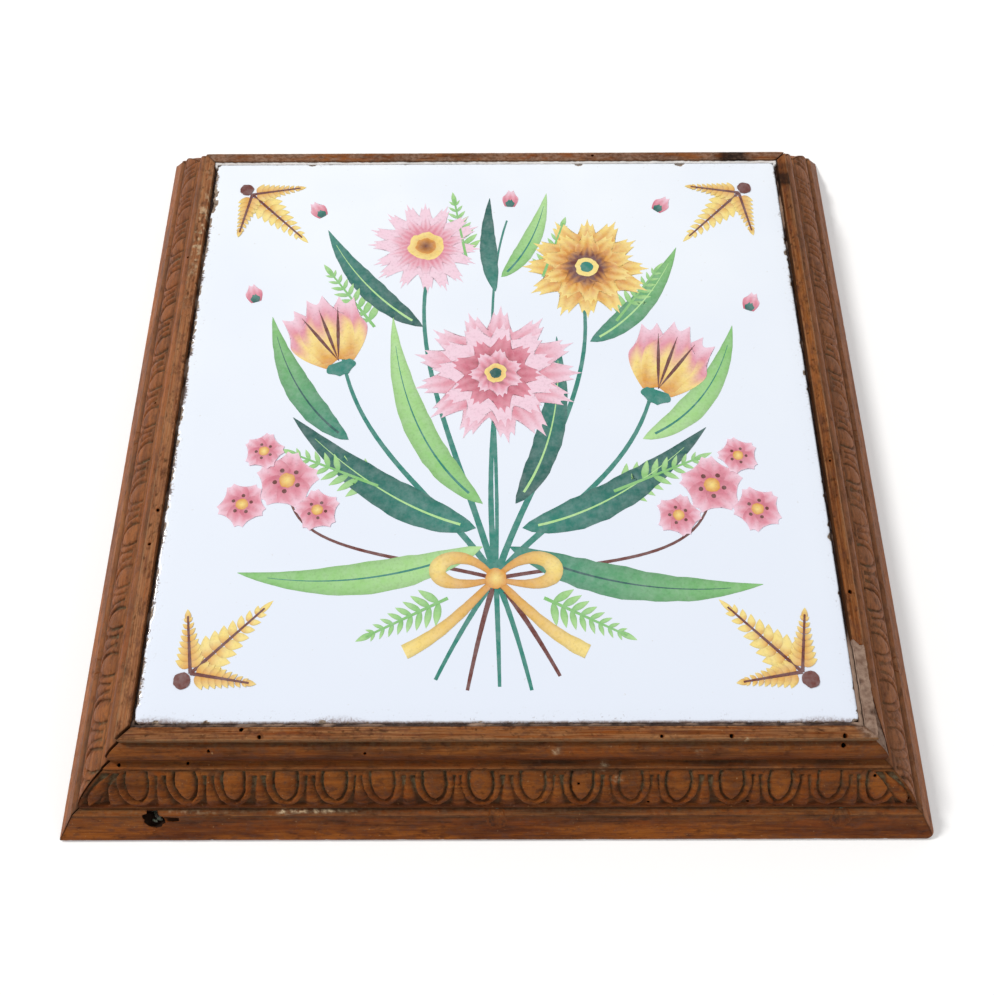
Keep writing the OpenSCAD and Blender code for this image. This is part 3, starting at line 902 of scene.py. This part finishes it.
def patch(grid, colours, level):
    """Paints a closed thin plate over a grid of places on the tile."""
    rows, columns = grid.shape[:2]
    middle = grid[rows // 2]
    across, along = middle[-1] - middle[0], grid[-1].mean(0) - grid[0].mean(0)
    if across[0] * along[1] - across[1] * along[0] < 0:
        grid, colours = grid[:, ::-1], colours[:, ::-1]
    x, y = grid[..., 0].ravel(), grid[..., 1].ravel()
    height = tile_height(x, y)
    top, rim = grid_faces(rows, columns, len(PAINT.points))
    below, after = rows * columns, np.roll(rim, -1)
    for z in (height + LIFT + LAYER * level, height - LIFT):
        PAINT.points.extend(np.column_stack([x, y, z]).tolist())
    PAINT.colours.extend(colours.reshape(-1, 3).tolist() * 2)
    for faces in (top, (top + below)[:, ::-1], np.column_stack([rim, rim + below, after + below, after])):
        PAINT.faces.extend(faces.tolist())


def bend(*control, steps=24):
    """A smooth curve led by its control points."""
    points = np.array(control, float)
    t = np.linspace(0, 1, steps + 1)[:, None, None]
    level = np.repeat(points[None], steps + 1, 0)
    while level.shape[1] > 1:
        level = level[:, :-1] * (1 - t) + level[:, 1:] * t
    return level[:, 0]


def shade(colours, t):
    """A colour part of the way along a list of named colours."""
    t = np.clip(np.asarray(t, float), 0, 1)
    stops = np.linspace(0, 1, len(colours)) if len(colours) > 1 else np.array([0, 1])
    values = np.array([INK[name] for name in (colours if len(colours) > 1 else colours * 2)])
    return np.stack([np.interp(t, stops, values[:, k]) for k in range(3)], -1)


def stroke(spine, width, colours, level, columns=5, edge=0.0):
    """A brush stroke along a line: its half width and its colours follow the way along it."""
    steps = len(spine)
    t = np.linspace(0, 1, steps)
    direction = np.gradient(spine, axis=0)
    direction /= np.linalg.norm(direction, axis=1)[:, None]
    normal = np.column_stack([-direction[:, 1], direction[:, 0]])
    v = np.linspace(-1, 1, columns)
    half = np.maximum(width(t), 0.07) * (1 + 0.07 * smooth_noise(spine[:, 0] / 1.7, spine[:, 1] / 1.7, 91))
    grid = spine[:, None] + normal[:, None] * (half[:, None] * v)[..., None]
    colour = shade(colours, t[:, None] + 0 * v)
    if edge:
        colour = colour * (1 - edge * np.abs(v)[None, :, None] ** 3)
    patch(grid, colour, level)


def lance(*control, width, colours, level=1, vein=None):
    """A pointed leaf, with a vein if its colour is named."""
    spine = bend(*control)
    stroke(spine, lambda t: width * np.sin(np.pi * t**0.8) ** 0.85, colours, level, 7, 0.2)
    if vein:
        stroke(spine[2:-3], lambda t: 0.32 * (1 - t) + 0.08, (vein,), level + 1, 2)


def stem(*control, width=1.0, colours=("teal",), level=1):
    stroke(bend(*control), lambda t: width * (1 - 0.45 * t), colours, level, 3)


def way(at, angle, far):
    """The place that lies a distance away at an angle."""
    return at[0] + far * math.cos(angle), at[1] + far * math.sin(angle)


def petal(at, angle, length, width, colours, level, tip=3, depth=0.12, start=0.1):
    """A petal with a notched tip."""
    rows, columns = 15, 6 * tip + 1
    t, v = np.linspace(start, 1, rows)[:, None], np.linspace(-1, 1, columns)[None]
    notch = 1 - depth * np.abs(np.sin(tip * np.pi * (v + 1) / 2 + np.pi / 2)) * ramp(0.45, 1, t)
    reach = length * t * (1 - 0.22 * v**2 * t) * notch
    swing = v * width * np.sin(np.pi * np.clip(0.18 + 0.62 * t, 0, 1)) ** 0.9
    c, s = math.cos(angle), math.sin(angle)
    side = swing * length * 0.5
    grid = np.stack([at[0] + reach * c - side * s, at[1] + reach * s + side * c], -1)
    rays = 0.12 * np.sin(v * 9 + 3 * angle) * np.sin(np.pi * t)
    patch(grid, shade(colours, t + rays), level)


def dot(at, radius, colours, level, uneven=0.08, seed=0):
    """A round spot of paint."""
    rows, columns = (17, 15) if radius > 1.5 else (9, 7)
    t = np.linspace(-0.985, 0.985, rows)[:, None]
    v = np.linspace(-1, 1, columns)[None]
    x, y = v * np.sqrt(1 - t**2), t + 0 * v
    grow = radius * (1 + uneven * smooth_noise(3 * x + at[0], 3 * y + at[1], 95 + seed))
    patch(np.stack([at[0] + x * grow, at[1] + y * grow], -1), shade(colours, np.hypot(x, y)), level)


def rosette(at, radius, rings, heart, level, seed=0):
    """A full flower. Each ring of petals has its share of the radius, its count and its colours."""
    rng = np.random.default_rng(seed)
    for n, (share, count, colours) in enumerate(rings):
        for k in range(count):
            angle = 2 * math.pi * (k + 0.5 * (n % 2)) / count + rng.uniform(-0.08, 0.08)
            length = radius * share * rng.uniform(0.93, 1.04)
            raised = 0.7 * (k % 3) if k < count - 1 else 2.1
            petal(at, angle, length, 5.4 / count, colours, level + 3 * n + raised, 3, 0.13)
    for k, (share, colours) in enumerate(heart):
        dot(at, radius * share, colours, level + 3 * len(rings) + 1.5 * k, 0.12, seed)


def tulip(at, angle, size, level):
    """A cup of three petals seen from the side, striped with maroon."""
    cup = ("ochre", "yellow", "pink", "pale_pink")
    for turn, shrink, shift in ((0.42, 0.95, 0), (-0.42, 0.95, 1), (0, 1.0, 2)):
        petal(at, angle + turn, size * shrink, 0.62, cup, level + shift, 2, 0.16, 0.02)
    for turn in (-0.3, 0, 0.3):
        tip = way(at, angle + turn, size * 0.75)
        stroke(bend(at, tip), lambda t: 0.55 * np.sin(np.pi * t), ("maroon",), level + 4, 3)
    petal(at, angle + math.pi, size * 0.22, 1.6, ("teal",), level + 4, 2, 0.1)


def sprig(at, angle, size, level, colours=("leaf", "green"), stalk="leaf", broad=0.16):
    """A fern of small paired leaves along a stalk."""
    stem(at, way(at, angle, size), width=0.5, colours=(stalk,), level=level + 4)
    for k in range(1, 9):
        root = way(at, angle, size * (k / 9))
        for side in (-1, 1):
            reach = size * 0.3 * (1 - 0.72 * (k / 9))
            end = way(root, angle + side * (1.05 - 0.35 * (k / 9)), reach)
            lance(root, end, width=reach * broad, colours=colours, level=level + 0.4 * k + 0.2 * side)
    lance(way(at, angle, size * 0.9), way(at, angle, size * 1.12), width=0.9, colours=colours, level=level)


def blossom(at, radius, level, seed=0):
    """Five petals round a yellow heart with five maroon spots."""
    for k in range(5):
        petal(at, 2 * math.pi * k / 5 + seed, radius, 1.0, ROSY, level + 0.6 * k, 2, 0.12, 0.05)
    dot(at, radius * 0.24, ("yellow", "ochre"), level + 3.6)
    for k in range(5):
        spot = way(at, 2 * math.pi * k / 5 + seed + 0.6, radius * 0.36)
        dot(spot, radius * 0.07, ("maroon",), level + 3.6)


# Where the stems are tied
TIE = (0, -58)
ROSY = ("rose", "pink", "pale_pink")
# Stems above the tie, then the crossed ones below it: the curve's control points, width, colour
STEMS = (
    (((-3, -30), (0, 4)), 1.0, "teal"), (((-14, -34), (-44, -16), (-50, 20)), 1.0, "teal"),
    (((14, -38), (44, -26), (51, 10)), 1.0, "teal"), (((-10, -20), (-30, 20), (-22, 56)), 1.0, "teal"),
    (((10, -24), (34, 4), (29, 44)), 1.0, "teal"), (((2, -10), (-6, 40), (4, 74)), 0.6, "teal"),
    (((-30, -50), (-60, -50), (-63, -30)), 0.6, "maroon"),
    (((30, -52), (60, -54), (65, -32)), 0.6, "maroon"),
    (((-8.5, -70), (-17, -88)), 0.9, "teal"), (((-4, -70), (-8, -91)), 0.9, "maroon"),
    (((0.5, -70), (1, -90)), 0.9, "teal"), (((5, -70), (10, -91)), 0.9, "teal"),
    (((9, -70), (18, -87)), 0.9, "maroon"),
)
# Leaves: control points, width, colours from root to tip, colour of the vein
LEAVES = (
    (((-6, -42), (-34, -36), (-64, -4)), 4.4, ("teal", "deep_teal"), "green"),
    (((8, -42), (36, -38), (66, -8)), 4.2, ("teal", "deep_teal"), "green"),
    (((-4, -34), (-30, -14), (-34, 34)), 3.6, ("leaf", "green"), "teal"),
    (((6, -34), (22, -12), (20, 26)), 3.4, ("deep_teal", "teal"), "green"),
    (((-4, -48), (-40, -64), (-76, -56)), 3.8, ("green", "leaf"), "teal"),
    (((4, -48), (40, -66), (78, -60)), 3.8, ("teal", "leaf"), "deep_teal"),
    (((-46, -12), (-66, 2), (-74, 34)), 3.4, ("teal", "leaf"), "deep_teal"),
    (((46, -12), (70, -2), (78, 30)), 3.4, ("green", "leaf"), "teal"),
    (((-24, 30), (-46, 44), (-58, 70)), 3.2, ("deep_teal", "teal"), "green"),
    (((31, 24), (50, 34), (62, 62)), 3.2, ("teal", "leaf"), "green"),
    (((2, 50), (14, 62), (18, 86)), 2.6, ("leaf", "green"), "teal"),
    (((0, 44), (-4, 62), (-2, 84)), 2.2, ("teal", "deep_teal"), None),
)
# Ferns: root, angle, size
FERNS = (
    ((-36, -28), 2.75, 30), ((36, -30), 0.4, 30), ((-40, 30), 2.2, 28), ((40, 32), 0.95, 26),
    ((-10, 58), 1.75, 26), ((16, 50), 1.25, 24), ((-14, -64), 3.6, 26), ((14, -64), -0.45, 26),
)
# Large flowers: middle, radius, rings of petals, heart from the outside in
ROSETTES = (
    ((0, 12), 27, (
        (1.0, 13, ROSY), (0.78, 11, ("rose", "pale_pink", "pale_pink")),
        (0.55, 9, ("maroon", "rose", "pink")), (0.34, 7, ("maroon", "pink", "pale_pink")),
    ), ((0.13, ("ochre", "yellow")), (0.07, ("deep_teal",)))),
    ((31, 54), 22, (
        (1.0, 12, ("ochre", "ochre", "yellow")), (0.74, 10, ("maroon", "ochre", "yellow")),
        (0.45, 8, ("maroon", "maroon", "ochre")),
    ), ((0.18, ("yellow",)), (0.1, ("teal",)))),
    ((-24, 63), 20, (
        (1.0, 16, ("pink", "pale_pink", "pale_pink")), (0.7, 14, ROSY),
    ), ((0.3, ("ochre", "yellow")), (0.17, ("maroon", "ochre")))),
)
# Blossoms: place, size, turn
BLOSSOMS = (
    ((-64, -26), 8.5, 0.2), ((-77, -34), 6.5, 0.9), ((-54, -36), 6.0, 0.5), ((-72, -16), 5.5, 0.1),
    ((66, -28), 8.5, 0.4), ((79, -36), 6.5, 0.7), ((55, -38), 6.0, 0.0), ((75, -18), 5.5, 0.6),
)
# Buds, and the sprays in the corners: place, angle
BUDS = (((5, 80), 1.5), ((-60, 76), 2.2), ((56, 78), 0.9), ((-80, 40), 1.9), ((84, 36), 1.2))
SPRAYS = (((-86, -86), 0.785), ((86, -86), 2.356), ((86, 86), -2.356), ((-86, 86), -0.785))


def paint_bouquet():
    for control, width, colour in STEMS:
        stem(TIE, *control, width=width, colours=(colour,))
    for control, width, colours, vein in LEAVES:
        lance(*control, width=1.3 * width, colours=colours, level=2, vein=vein)
    for at, angle, size in FERNS:
        sprig(at, angle, size, 1)
    for n, (at, radius, rings, heart) in enumerate(ROSETTES):
        rosette(at, radius, rings, heart, 4, n + 1)
    tulip((-51, 17), 1.95, 28, 5)
    tulip((52, 6), 1.2, 28, 5)
    for n, (at, size, turn) in enumerate(BLOSSOMS):
        blossom(at, 1.22 * size, 6 + 4.5 * (n % 4), turn)
    for at, angle in BUDS:
        petal(at, angle, 8, 0.7, ROSY, 5, 2, 0.15, 0.02)
        petal(at, angle, 3.6, 0.9, ("deep_teal", "teal"), 7, 2, 0.2, 0.02)
    # The bow
    for side in (-1, 1):
        loop = bend(TIE, (side * 12, -44), (side * 24, -54), (side * 20, -64), TIE)
        stroke(loop, lambda t: 0.5 + 2.0 * np.sin(np.pi * t), ("ochre", "yellow", "ochre"), 7, 5, 0.25)
        tail = bend(TIE, (side * 8, -66), (side * 14, -74), (side * 26, -80))
        stroke(tail, lambda t: 0.9 + 1.4 * t, ("ochre", "yellow"), 6, 5, 0.25)
    dot(TIE, 3.2, ("yellow", "ochre"), 9)
    for at, angle in SPRAYS:
        sprig(at, angle, 27, 1, ("ochre", "yellow", "yellow"), "maroon", 0.27)
        for turn, level in ((0.95, 7), (-0.95, 12)):
            sprig(at, angle + turn, 17, level, ("ochre", "yellow"), "maroon", 0.27)
        dot(way(at, angle, -3), 2.4, ("maroon",), 17)


def build_painting(material):
    paint_bouquet()
    colours = np.array(PAINT.colours)
    marks = {"paint": np.column_stack([colours, np.ones(len(colours))])}
    made = new_object("painted_bouquet", PAINT.points, PAINT.faces, marks)
    return dress(made, material, "glazed_tile", sharp=60)


# Materials

WHITE = (1, 1, 1, 1)


def rgb(red, green, blue):
    return (*linear(red, green, blue), 1.0)


class Recipe:
    """Builds the nodes of a material or of the world."""

    def __init__(self, holder):
        self.holder = holder
        holder.use_nodes = True
        self.tree = holder.node_tree
        self.tree.nodes.clear()
        self.colour = None

    def add(self, kind, sockets=None, **settings):
        """Adds a node, whose sockets are each linked or set, and gives its outputs."""
        node = self.tree.nodes.new("ShaderNode" + kind)
        for key, value in settings.items():
            setattr(node, key, value)
        for key, value in (sockets or {}).items():
            if isinstance(value, bpy.types.NodeSocket):
                self.tree.links.new(value, node.inputs[key])
            else:
                node.inputs[key].default_value = value
        return node.outputs

    def mark(self, name, output="Fac"):
        return self.add("Attribute", attribute_name=name)[output]

    def math(self, operation, *values):
        return self.add("Math", dict(enumerate(values)), operation=operation)[0]

    def plus(self, first, second):
        return self.math("ADD", first, second)

    def times(self, first, second):
        return self.math("MULTIPLY", first, second)

    def scaled(self, vector, scale, shift=(0, 0, 0)):
        return self.add("Mapping", {"Vector": vector, "Scale": scale, "Location": shift})[0]

    def place(self):
        """The place on the piece, in millimetres."""
        return self.scaled(self.add("TexCoord")["Object"], (1 / MM,) * 3)

    def noise(self, vector, scale, detail=3.0, rough=0.5, seed=0.0):
        """Noise at one scale, or at a scale along x and another across it."""
        scale = (*scale, scale[-1])[:3] if isinstance(scale, tuple) else (scale,) * 3
        vector = self.scaled(vector, scale, (seed,) * 3)
        return self.add("TexNoise", {"Vector": vector, "Scale": 1, "Detail": detail, "Roughness": rough})[0]

    def range(self, value, low, high, new_low=0.0, new_high=1.0):
        return self.add("MapRange", dict(enumerate((value, low, high, new_low, new_high))))[0]

    def mix(self, share, first, second, kind="MIX"):
        return self.add("Mix", {0: share, 6: first, 7: second}, data_type="RGBA", blend_type=kind)[2]

    def blend(self, share, dark, pale):
        """A colour between two colours of the screen."""
        return self.mix(share, rgb(*dark), rgb(*pale))

    def coat(self, share, ink, mark=None):
        """Lays a colour over what is there, as far as a share and a mark say."""
        share = self.times(self.mark(mark), share) if mark else share
        self.colour = self.mix(share, self.colour, rgb(*ink) if isinstance(ink, tuple) else ink)

    def bump(self, height, strength, distance):
        return self.add("Bump", {"Height": height, "Strength": strength, "Distance": distance * MM})[0]

    def surface(self, roughness, normal, more=None):
        """Ends a material with one shader of the colour so far."""
        sockets = {"Base Color": self.colour, "Roughness": roughness, **(more or {})}
        if normal:
            sockets["Normal"] = normal
        self.add("OutputMaterial", {"Surface": self.add("BsdfPrincipled", sockets)[0]})
        return self.holder

    def seen_rays(self):
        """1 for what the camera sees, directly or mirrored or through glass, and 0 for what lights."""
        path = self.add("LightPath")
        total = path["Is Camera Ray"]
        for kind in ("Is Glossy Ray", "Is Transmission Ray"):
            total = self.math("MAXIMUM", total, path[kind])
        return total


def recipe(name):
    return Recipe(bpy.data.materials.new(name))


def frame_wood(name):
    r = recipe(name)
    grain = r.mark("grain", "Vector")
    streak = r.noise(grain, (0.06, 0.75), 5.0, 0.65, 3.0)
    line = r.noise(grain, (0.05, 4.5), 3.0, 0.6, 8.0)
    blotch = r.noise(grain, (0.025, 0.09), 3.0, 0.55, 1.0)
    pore = r.noise(grain, (0.45, 6.5), 2.0, 0.5, 5.0)
    warm = r.noise(grain, (0.06, 0.3), 4.0, 0.65, 12.0)
    thread = r.noise(grain, (0.07, 1.7), 4.0, 0.65, 15.0)
    haze = r.noise(grain, (0.3, 0.42), 5.0, 0.68, 31.0)
    grime = r.noise(grain, (0.22, 0.4), 5.0, 0.7, 2.0)
    spot = r.noise(grain, 1.4, 2.0, 0.5, 6.0)
    powder = r.noise(grain, (0.7, 0.9), 4.0, 0.7, 4.0)
    # The wood itself
    level = r.plus(r.range(streak, 0.34, 0.66, -0.8, 0.8), r.range(blotch, 0.38, 0.62, -0.7, 0.7))
    level = r.plus(r.plus(level, r.mark("tone")), r.range(line, 0.3, 0.7, -0.3, 0.3))
    r.colour = r.blend(r.range(level, -1.0, 0.1), (62, 27, 6), (106, 53, 13))
    r.coat(r.range(level, 0.0, 1.2), (146, 84, 32))
    r.coat(r.range(warm, 0.44, 0.64, 0.0, 0.75), (134, 64, 12))
    r.coat(0.65, r.blend(r.range(level, -0.8, 0.9), (96, 44, 8), (160, 88, 22)), "amber")
    # Worn, polished and faded places
    plain = r.blend(r.range(line, 0.35, 0.6), (110, 62, 38), (158, 112, 72))
    # Bare wood, with painted highlights along the arrises
    r.coat(r.range(thread, 0.36, 0.6, 0.2, 1.2), plain, "bare")
    r.coat(r.range(blotch, 0.35, 0.65, 0.2, 0.5), (138, 78, 34), "wear")
    # The deep mark: painted shade down the round, on the neck and at the band's foot, and a darker tone on
    # some eggs
    r.coat(r.range(streak, 0.35, 0.65, 0.85, 0.45), (62, 24, 4), "deep")
    # Faded wood, partly painted light that lightens whole sides
    r.coat(r.mark("fade"), r.blend(r.range(streak, 0.35, 0.65), (152, 98, 68), (182, 124, 88)))
    r.coat(r.range(haze, 0.5, 0.66, 0.0, 0.6), (90, 56, 42))
    # Pores, specks and grime
    r.coat(r.range(pore, 0.38, 0.28, 0.0, 0.6), (36, 18, 8))
    r.coat(r.range(grime, 0.54, 0.7, 0.0, 0.7), (58, 27, 12))
    r.coat(r.range(spot, 0.7, 0.77, 0.0, 0.6), (170, 132, 92))
    r.coat(r.range(spot, 0.29, 0.22, 0.0, 0.75), (36, 18, 10))
    # Dirt, with painted shade in creases, grooves, pits, holes and joints
    r.coat(r.range(grime, 0.2, 0.6, 1.0, 0.75), (38, 22, 12), "dirt")
    # Dust, with painted light on the quirk and a painted sky reflection on top of the round
    r.coat(r.range(powder, 0.35, 0.62, 0.1, 1.0), (112, 102, 78), "dust")
    # Scuffs and filler smears; on the rear the same marks are painted light on the shaded wall
    r.coat(r.range(powder, 0.4, 0.55, 0.3, 1.0), (196, 172, 138), "scuff")
    r.coat(0.85, r.blend(r.range(powder, 0.4, 0.6), (96, 70, 54), (150, 124, 106)), "smear")
    # Scorch marks, and painted shade inside the holes
    r.coat(r.range(powder, 0.3, 0.6, 1.0, 0.8), (24, 15, 10), "scorch")
    rough = r.range(r.plus(grime, r.times(r.mark("dirt"), 0.5)), 0.3, 1.0, 0.42, 0.75)
    height = r.plus(r.times(line, 0.5), r.times(pore, 0.5))
    return r.surface(rough, r.bump(height, 0.7, 0.16), {"Specular IOR Level": 0.06})


def glaze():
    r = recipe("white_glaze")
    place, edge, chip = r.place(), r.mark("edge"), r.mark("chip")
    cloud = r.noise(place, 0.02, 3.0, 0.5, 1.0)
    speck = r.noise(place, 0.55, 3.0, 0.7, 4.0)
    grime = r.noise(place, 0.35, 4.0, 0.65, 7.0)
    fine = r.noise(place, 1.6, 3.0, 0.7, 17.0)
    hair = r.noise(place, (0.7, 1.5, 1.0), 4.0, 0.7, 21.0)
    lump = r.noise(place, 0.12, 3.0, 0.6, 27.0)
    wave = r.noise(place, 0.12, 2.0, 0.4, 9.0)
    r.colour = r.blend(r.range(cloud, 0.35, 0.65), (233, 239, 248), (239, 244, 250))
    # Painted shade: the glaze turns darker and bluer towards the front of the tile
    r.coat(r.mark("near"), (226, 233, 246))
    r.coat(r.range(speck, 0.69, 0.76, 0.0, 0.35), (190, 176, 150))
    # Grime and specks along the edge
    rim = r.times(r.range(edge, 0.1, 0.8, 1.0, 0.0), r.range(grime, 0.34, 0.55))
    specks = r.times(r.range(edge, 0.6, 4.5, 1.0, 0.0), r.range(fine, 0.6, 0.68))
    rim = r.math("MAXIMUM", rim, r.times(specks, r.range(grime, 0.45, 0.65)))
    r.coat(r.times(rim, 0.85), (128, 104, 82))
    # The ragged sides, where the glaze is lost in fine hooks
    away = r.plus(edge, r.range(hair, 0.36, 0.64, 0.5, -0.7))
    away = r.plus(away, r.range(lump, 0.4, 0.6, 0.35, -0.75))
    r.coat(r.range(away, 0.85, 0.5, 0.0, 0.7), (156, 134, 120), "ragged")
    r.coat(r.range(away, 0.5, 0.25), (58, 36, 32), "ragged")
    soil = r.times(r.mark("soiled"), r.range(fine, 0.42, 0.58, 0.25, 1.0))
    r.coat(r.times(soil, 0.75), (120, 94, 86))
    r.coat(r.range(chip, 0.15, 0.5), r.blend(r.range(fine, 0.35, 0.62), (84, 62, 48), (170, 152, 134)))
    rough = r.range(r.plus(chip, rim), 0.1, 0.8, 0.12, 0.8)
    return r.surface(rough, r.bump(wave, 0.25, 0.15))


def enamel():
    r = recipe("enamel_paint")
    place = r.place()
    wash, pool = r.noise(place, 0.4, 4.0, 0.6, 2.0), r.noise(place, 1.1, 3.0, 0.6, 6.0)
    r.colour = r.mark("paint", "Color")
    r.coat(r.range(wash, 0.35, 0.75, 0.0, 0.13), (236, 238, 242))
    r.coat(r.range(pool, 0.5, 0.75, 0.0, 0.25), r.mix(1.0, r.colour, rgb(150, 140, 140), "MULTIPLY"))
    return r.surface(r.range(pool, 0.3, 0.7, 0.14, 0.26), r.bump(pool, 0.2, 0.05))


def stony(name, dark, pale, scale, marked=(), rough=0.9, deep=0.3):
    """A dull material of two colours, with another colour where a named mark is set."""
    r = recipe(name)
    place = r.place()
    lump = r.noise(place, scale, 5.0, 0.65, 3.0)
    speck = r.noise(place, scale * 4, 3.0, 0.6, 9.0)
    r.colour = r.blend(r.range(lump, 0.32, 0.66), dark, pale)
    r.coat(r.range(speck, 0.6, 0.72, 0.0, 0.6), dark)
    for mark, ink in marked:
        r.coat(r.mark(mark), ink)
    return r.surface(r.range(lump, 0.3, 0.7, rough, rough - 0.15), r.bump(lump, 0.7, deep))


def board_wood():
    r = recipe("board_wood")
    place = r.place()
    streak = r.noise(place, (0.012, 0.35), 5.0, 0.6, 3.0)
    saw = r.noise(place, (0.5, 0.02), 3.0, 0.6, 5.0)
    stain = r.noise(place, 0.03, 4.0, 0.6, 8.0)
    r.colour = r.blend(r.range(streak, 0.3, 0.7), (112, 82, 52), (166, 130, 88))
    r.coat(r.range(saw, 0.55, 0.75, 0.0, 0.5), (84, 60, 40))
    r.coat(r.range(stain, 0.5, 0.75, 0.0, 0.6), (74, 54, 38))
    return r.surface(r.range(streak, 0.3, 0.7, 0.85, 0.7), r.bump(saw, 0.6, 0.3))


def iron():
    r = recipe("nail_iron")
    rust = r.noise(r.place(), 1.3, 4.0, 0.6, 2.0)
    r.colour = r.blend(r.range(rust, 0.4, 0.62), (86, 92, 78), (36, 22, 16))
    metal = {"Metallic": r.range(rust, 0.4, 0.6, 0.9, 0.0)}
    return r.surface(r.range(rust, 0.4, 0.62, 0.35, 0.85), r.bump(rust, 0.8, 0.2), metal)


def build_scene():
    wood = frame_wood("frame_wood")
    for side in SIDES:
        build_rail(side, wood)
    build_filler(stony("filler", (104, 76, 60), (158, 132, 114), 0.45, (("dirt", (78, 50, 38)),)))
    build_plugs(frame_wood("plug_wood"))
    build_nails(iron())
    build_tile(glaze())
    build_painting(enamel())
    pale_places = (("pale", (146, 120, 102)), ("white", (234, 232, 230)))
    build_putty(stony("putty", (36, 24, 20), (72, 50, 40), 0.8, pale_places))
    plaster = stony("plaster", (176, 166, 150), (206, 198, 184), 0.2)
    for name, material in (("base_board", board_wood()), ("setting_bed", plaster)):
        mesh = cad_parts[name].data
        mesh.materials.clear()
        mesh.materials.append(material)


# The camera, the lamps and the floor

# The camera: how far it looks down, looks aside and tilts, in degrees, then the point it aims at and its
# distance in millimetres, and its lens
CAMERA_TURNS = (65.68, -0.373, -0.516)
CAMERA_AIM, CAMERA_FAR, CAMERA_LENS = (0.36, -32.02, 31.2), 295.2, 35.16
# How strongly the world lights the object, and how it looks to the camera
WORLD_LIGHT, WORLD_SEEN = 0.52, 1.0
# The floor: half its width and how far it lies below the object, in millimetres, and its glow
FLOOR_REACH, FLOOR_DROP, FLOOR_GLOW = 800, 0.05, 0.11


def stand(name, data, axes, at):
    """An object in the scene, with its three axes, at a place in metres."""
    made = bpy.data.objects.new(name, data)
    made.matrix_world = Matrix([*np.column_stack([*axes, at]).tolist(), [0, 0, 0, 1]])
    bpy.context.scene.collection.objects.link(made)
    return made


def camera_at_photo():
    """The camera's place, fitted to the tile's and the mouldings' straight edges in the photo."""
    down, yaw, roll = (math.radians(turn) for turn in CAMERA_TURNS)
    ahead = np.array([math.sin(yaw) * math.cos(down), math.cos(yaw) * math.cos(down), -math.sin(down)])
    right = np.array([math.cos(yaw), -math.sin(yaw), 0])
    up = np.cross(right, ahead)
    c, s = math.cos(roll), math.sin(roll)
    right, up = c * right + s * up, -s * right + c * up
    centre = np.array(CAMERA_AIM) - CAMERA_FAR * ahead
    lens = bpy.data.cameras.new("camera")
    lens.lens = CAMERA_LENS
    lens.sensor_width = 36.0
    lens.clip_start = 0.01
    bpy.context.scene.camera = stand("camera", lens, (right, up, -ahead), centre * MM)


def area_lamp(name, at, size, power, colour=(1, 1, 1)):
    """A square lamp that shines at the origin."""
    lamp = bpy.data.lights.new(name, "AREA")
    lamp.size = size
    lamp.energy = power
    lamp.color = colour
    z = np.array(at, float) / np.linalg.norm(at)
    x = np.cross([0, 0, 1], z)
    x /= np.linalg.norm(x)
    stand(name, lamp, (x, np.cross(z, x), z), at)


def light_scene():
    area_lamp("key", (-2.32, 1.13, 2.7), 0.38, 94.0, (1.0, 0.99, 0.97))
    area_lamp("fill", (1.3, -0.6, 0.9), 1.0, 3.0)
    world = bpy.data.worlds.new("studio")
    bpy.context.scene.world = world
    r = Recipe(world)
    dim, bright = (
        r.add("Background", {"Color": WHITE, "Strength": light})[0] for light in (WORLD_LIGHT, WORLD_SEEN)
    )
    r.add("OutputWorld", {"Surface": r.add("MixShader", {0: r.seen_rays(), 1: dim, 2: bright})[0]})


def build_floor():
    signs = ((-1, -1), (1, -1), (1, 1), (-1, 1))
    corners = [(FLOOR_REACH * x, FLOOR_REACH * y, -FLOOR_DROP) for x, y in signs]
    floor = new_object("floor", corners, [[0, 1, 2, 3]])
    r = recipe("floor")
    cloud = r.noise(r.place(), 0.004, 2.0, 0.5, 2.0)
    r.colour = r.mix(cloud, (0.9, 0.9, 0.9, 1), (0.93, 0.93, 0.93, 1))
    glow = {"Emission Color": WHITE, "Emission Strength": r.times(r.seen_rays(), FLOOR_GLOW)}
    floor.data.materials.append(r.surface(0.9, None, glow))


build_scene()
camera_at_photo()
light_scene()
build_floor()
bpy.context.scene.view_settings.view_transform = "Standard"
bpy.context.view_layer.update()
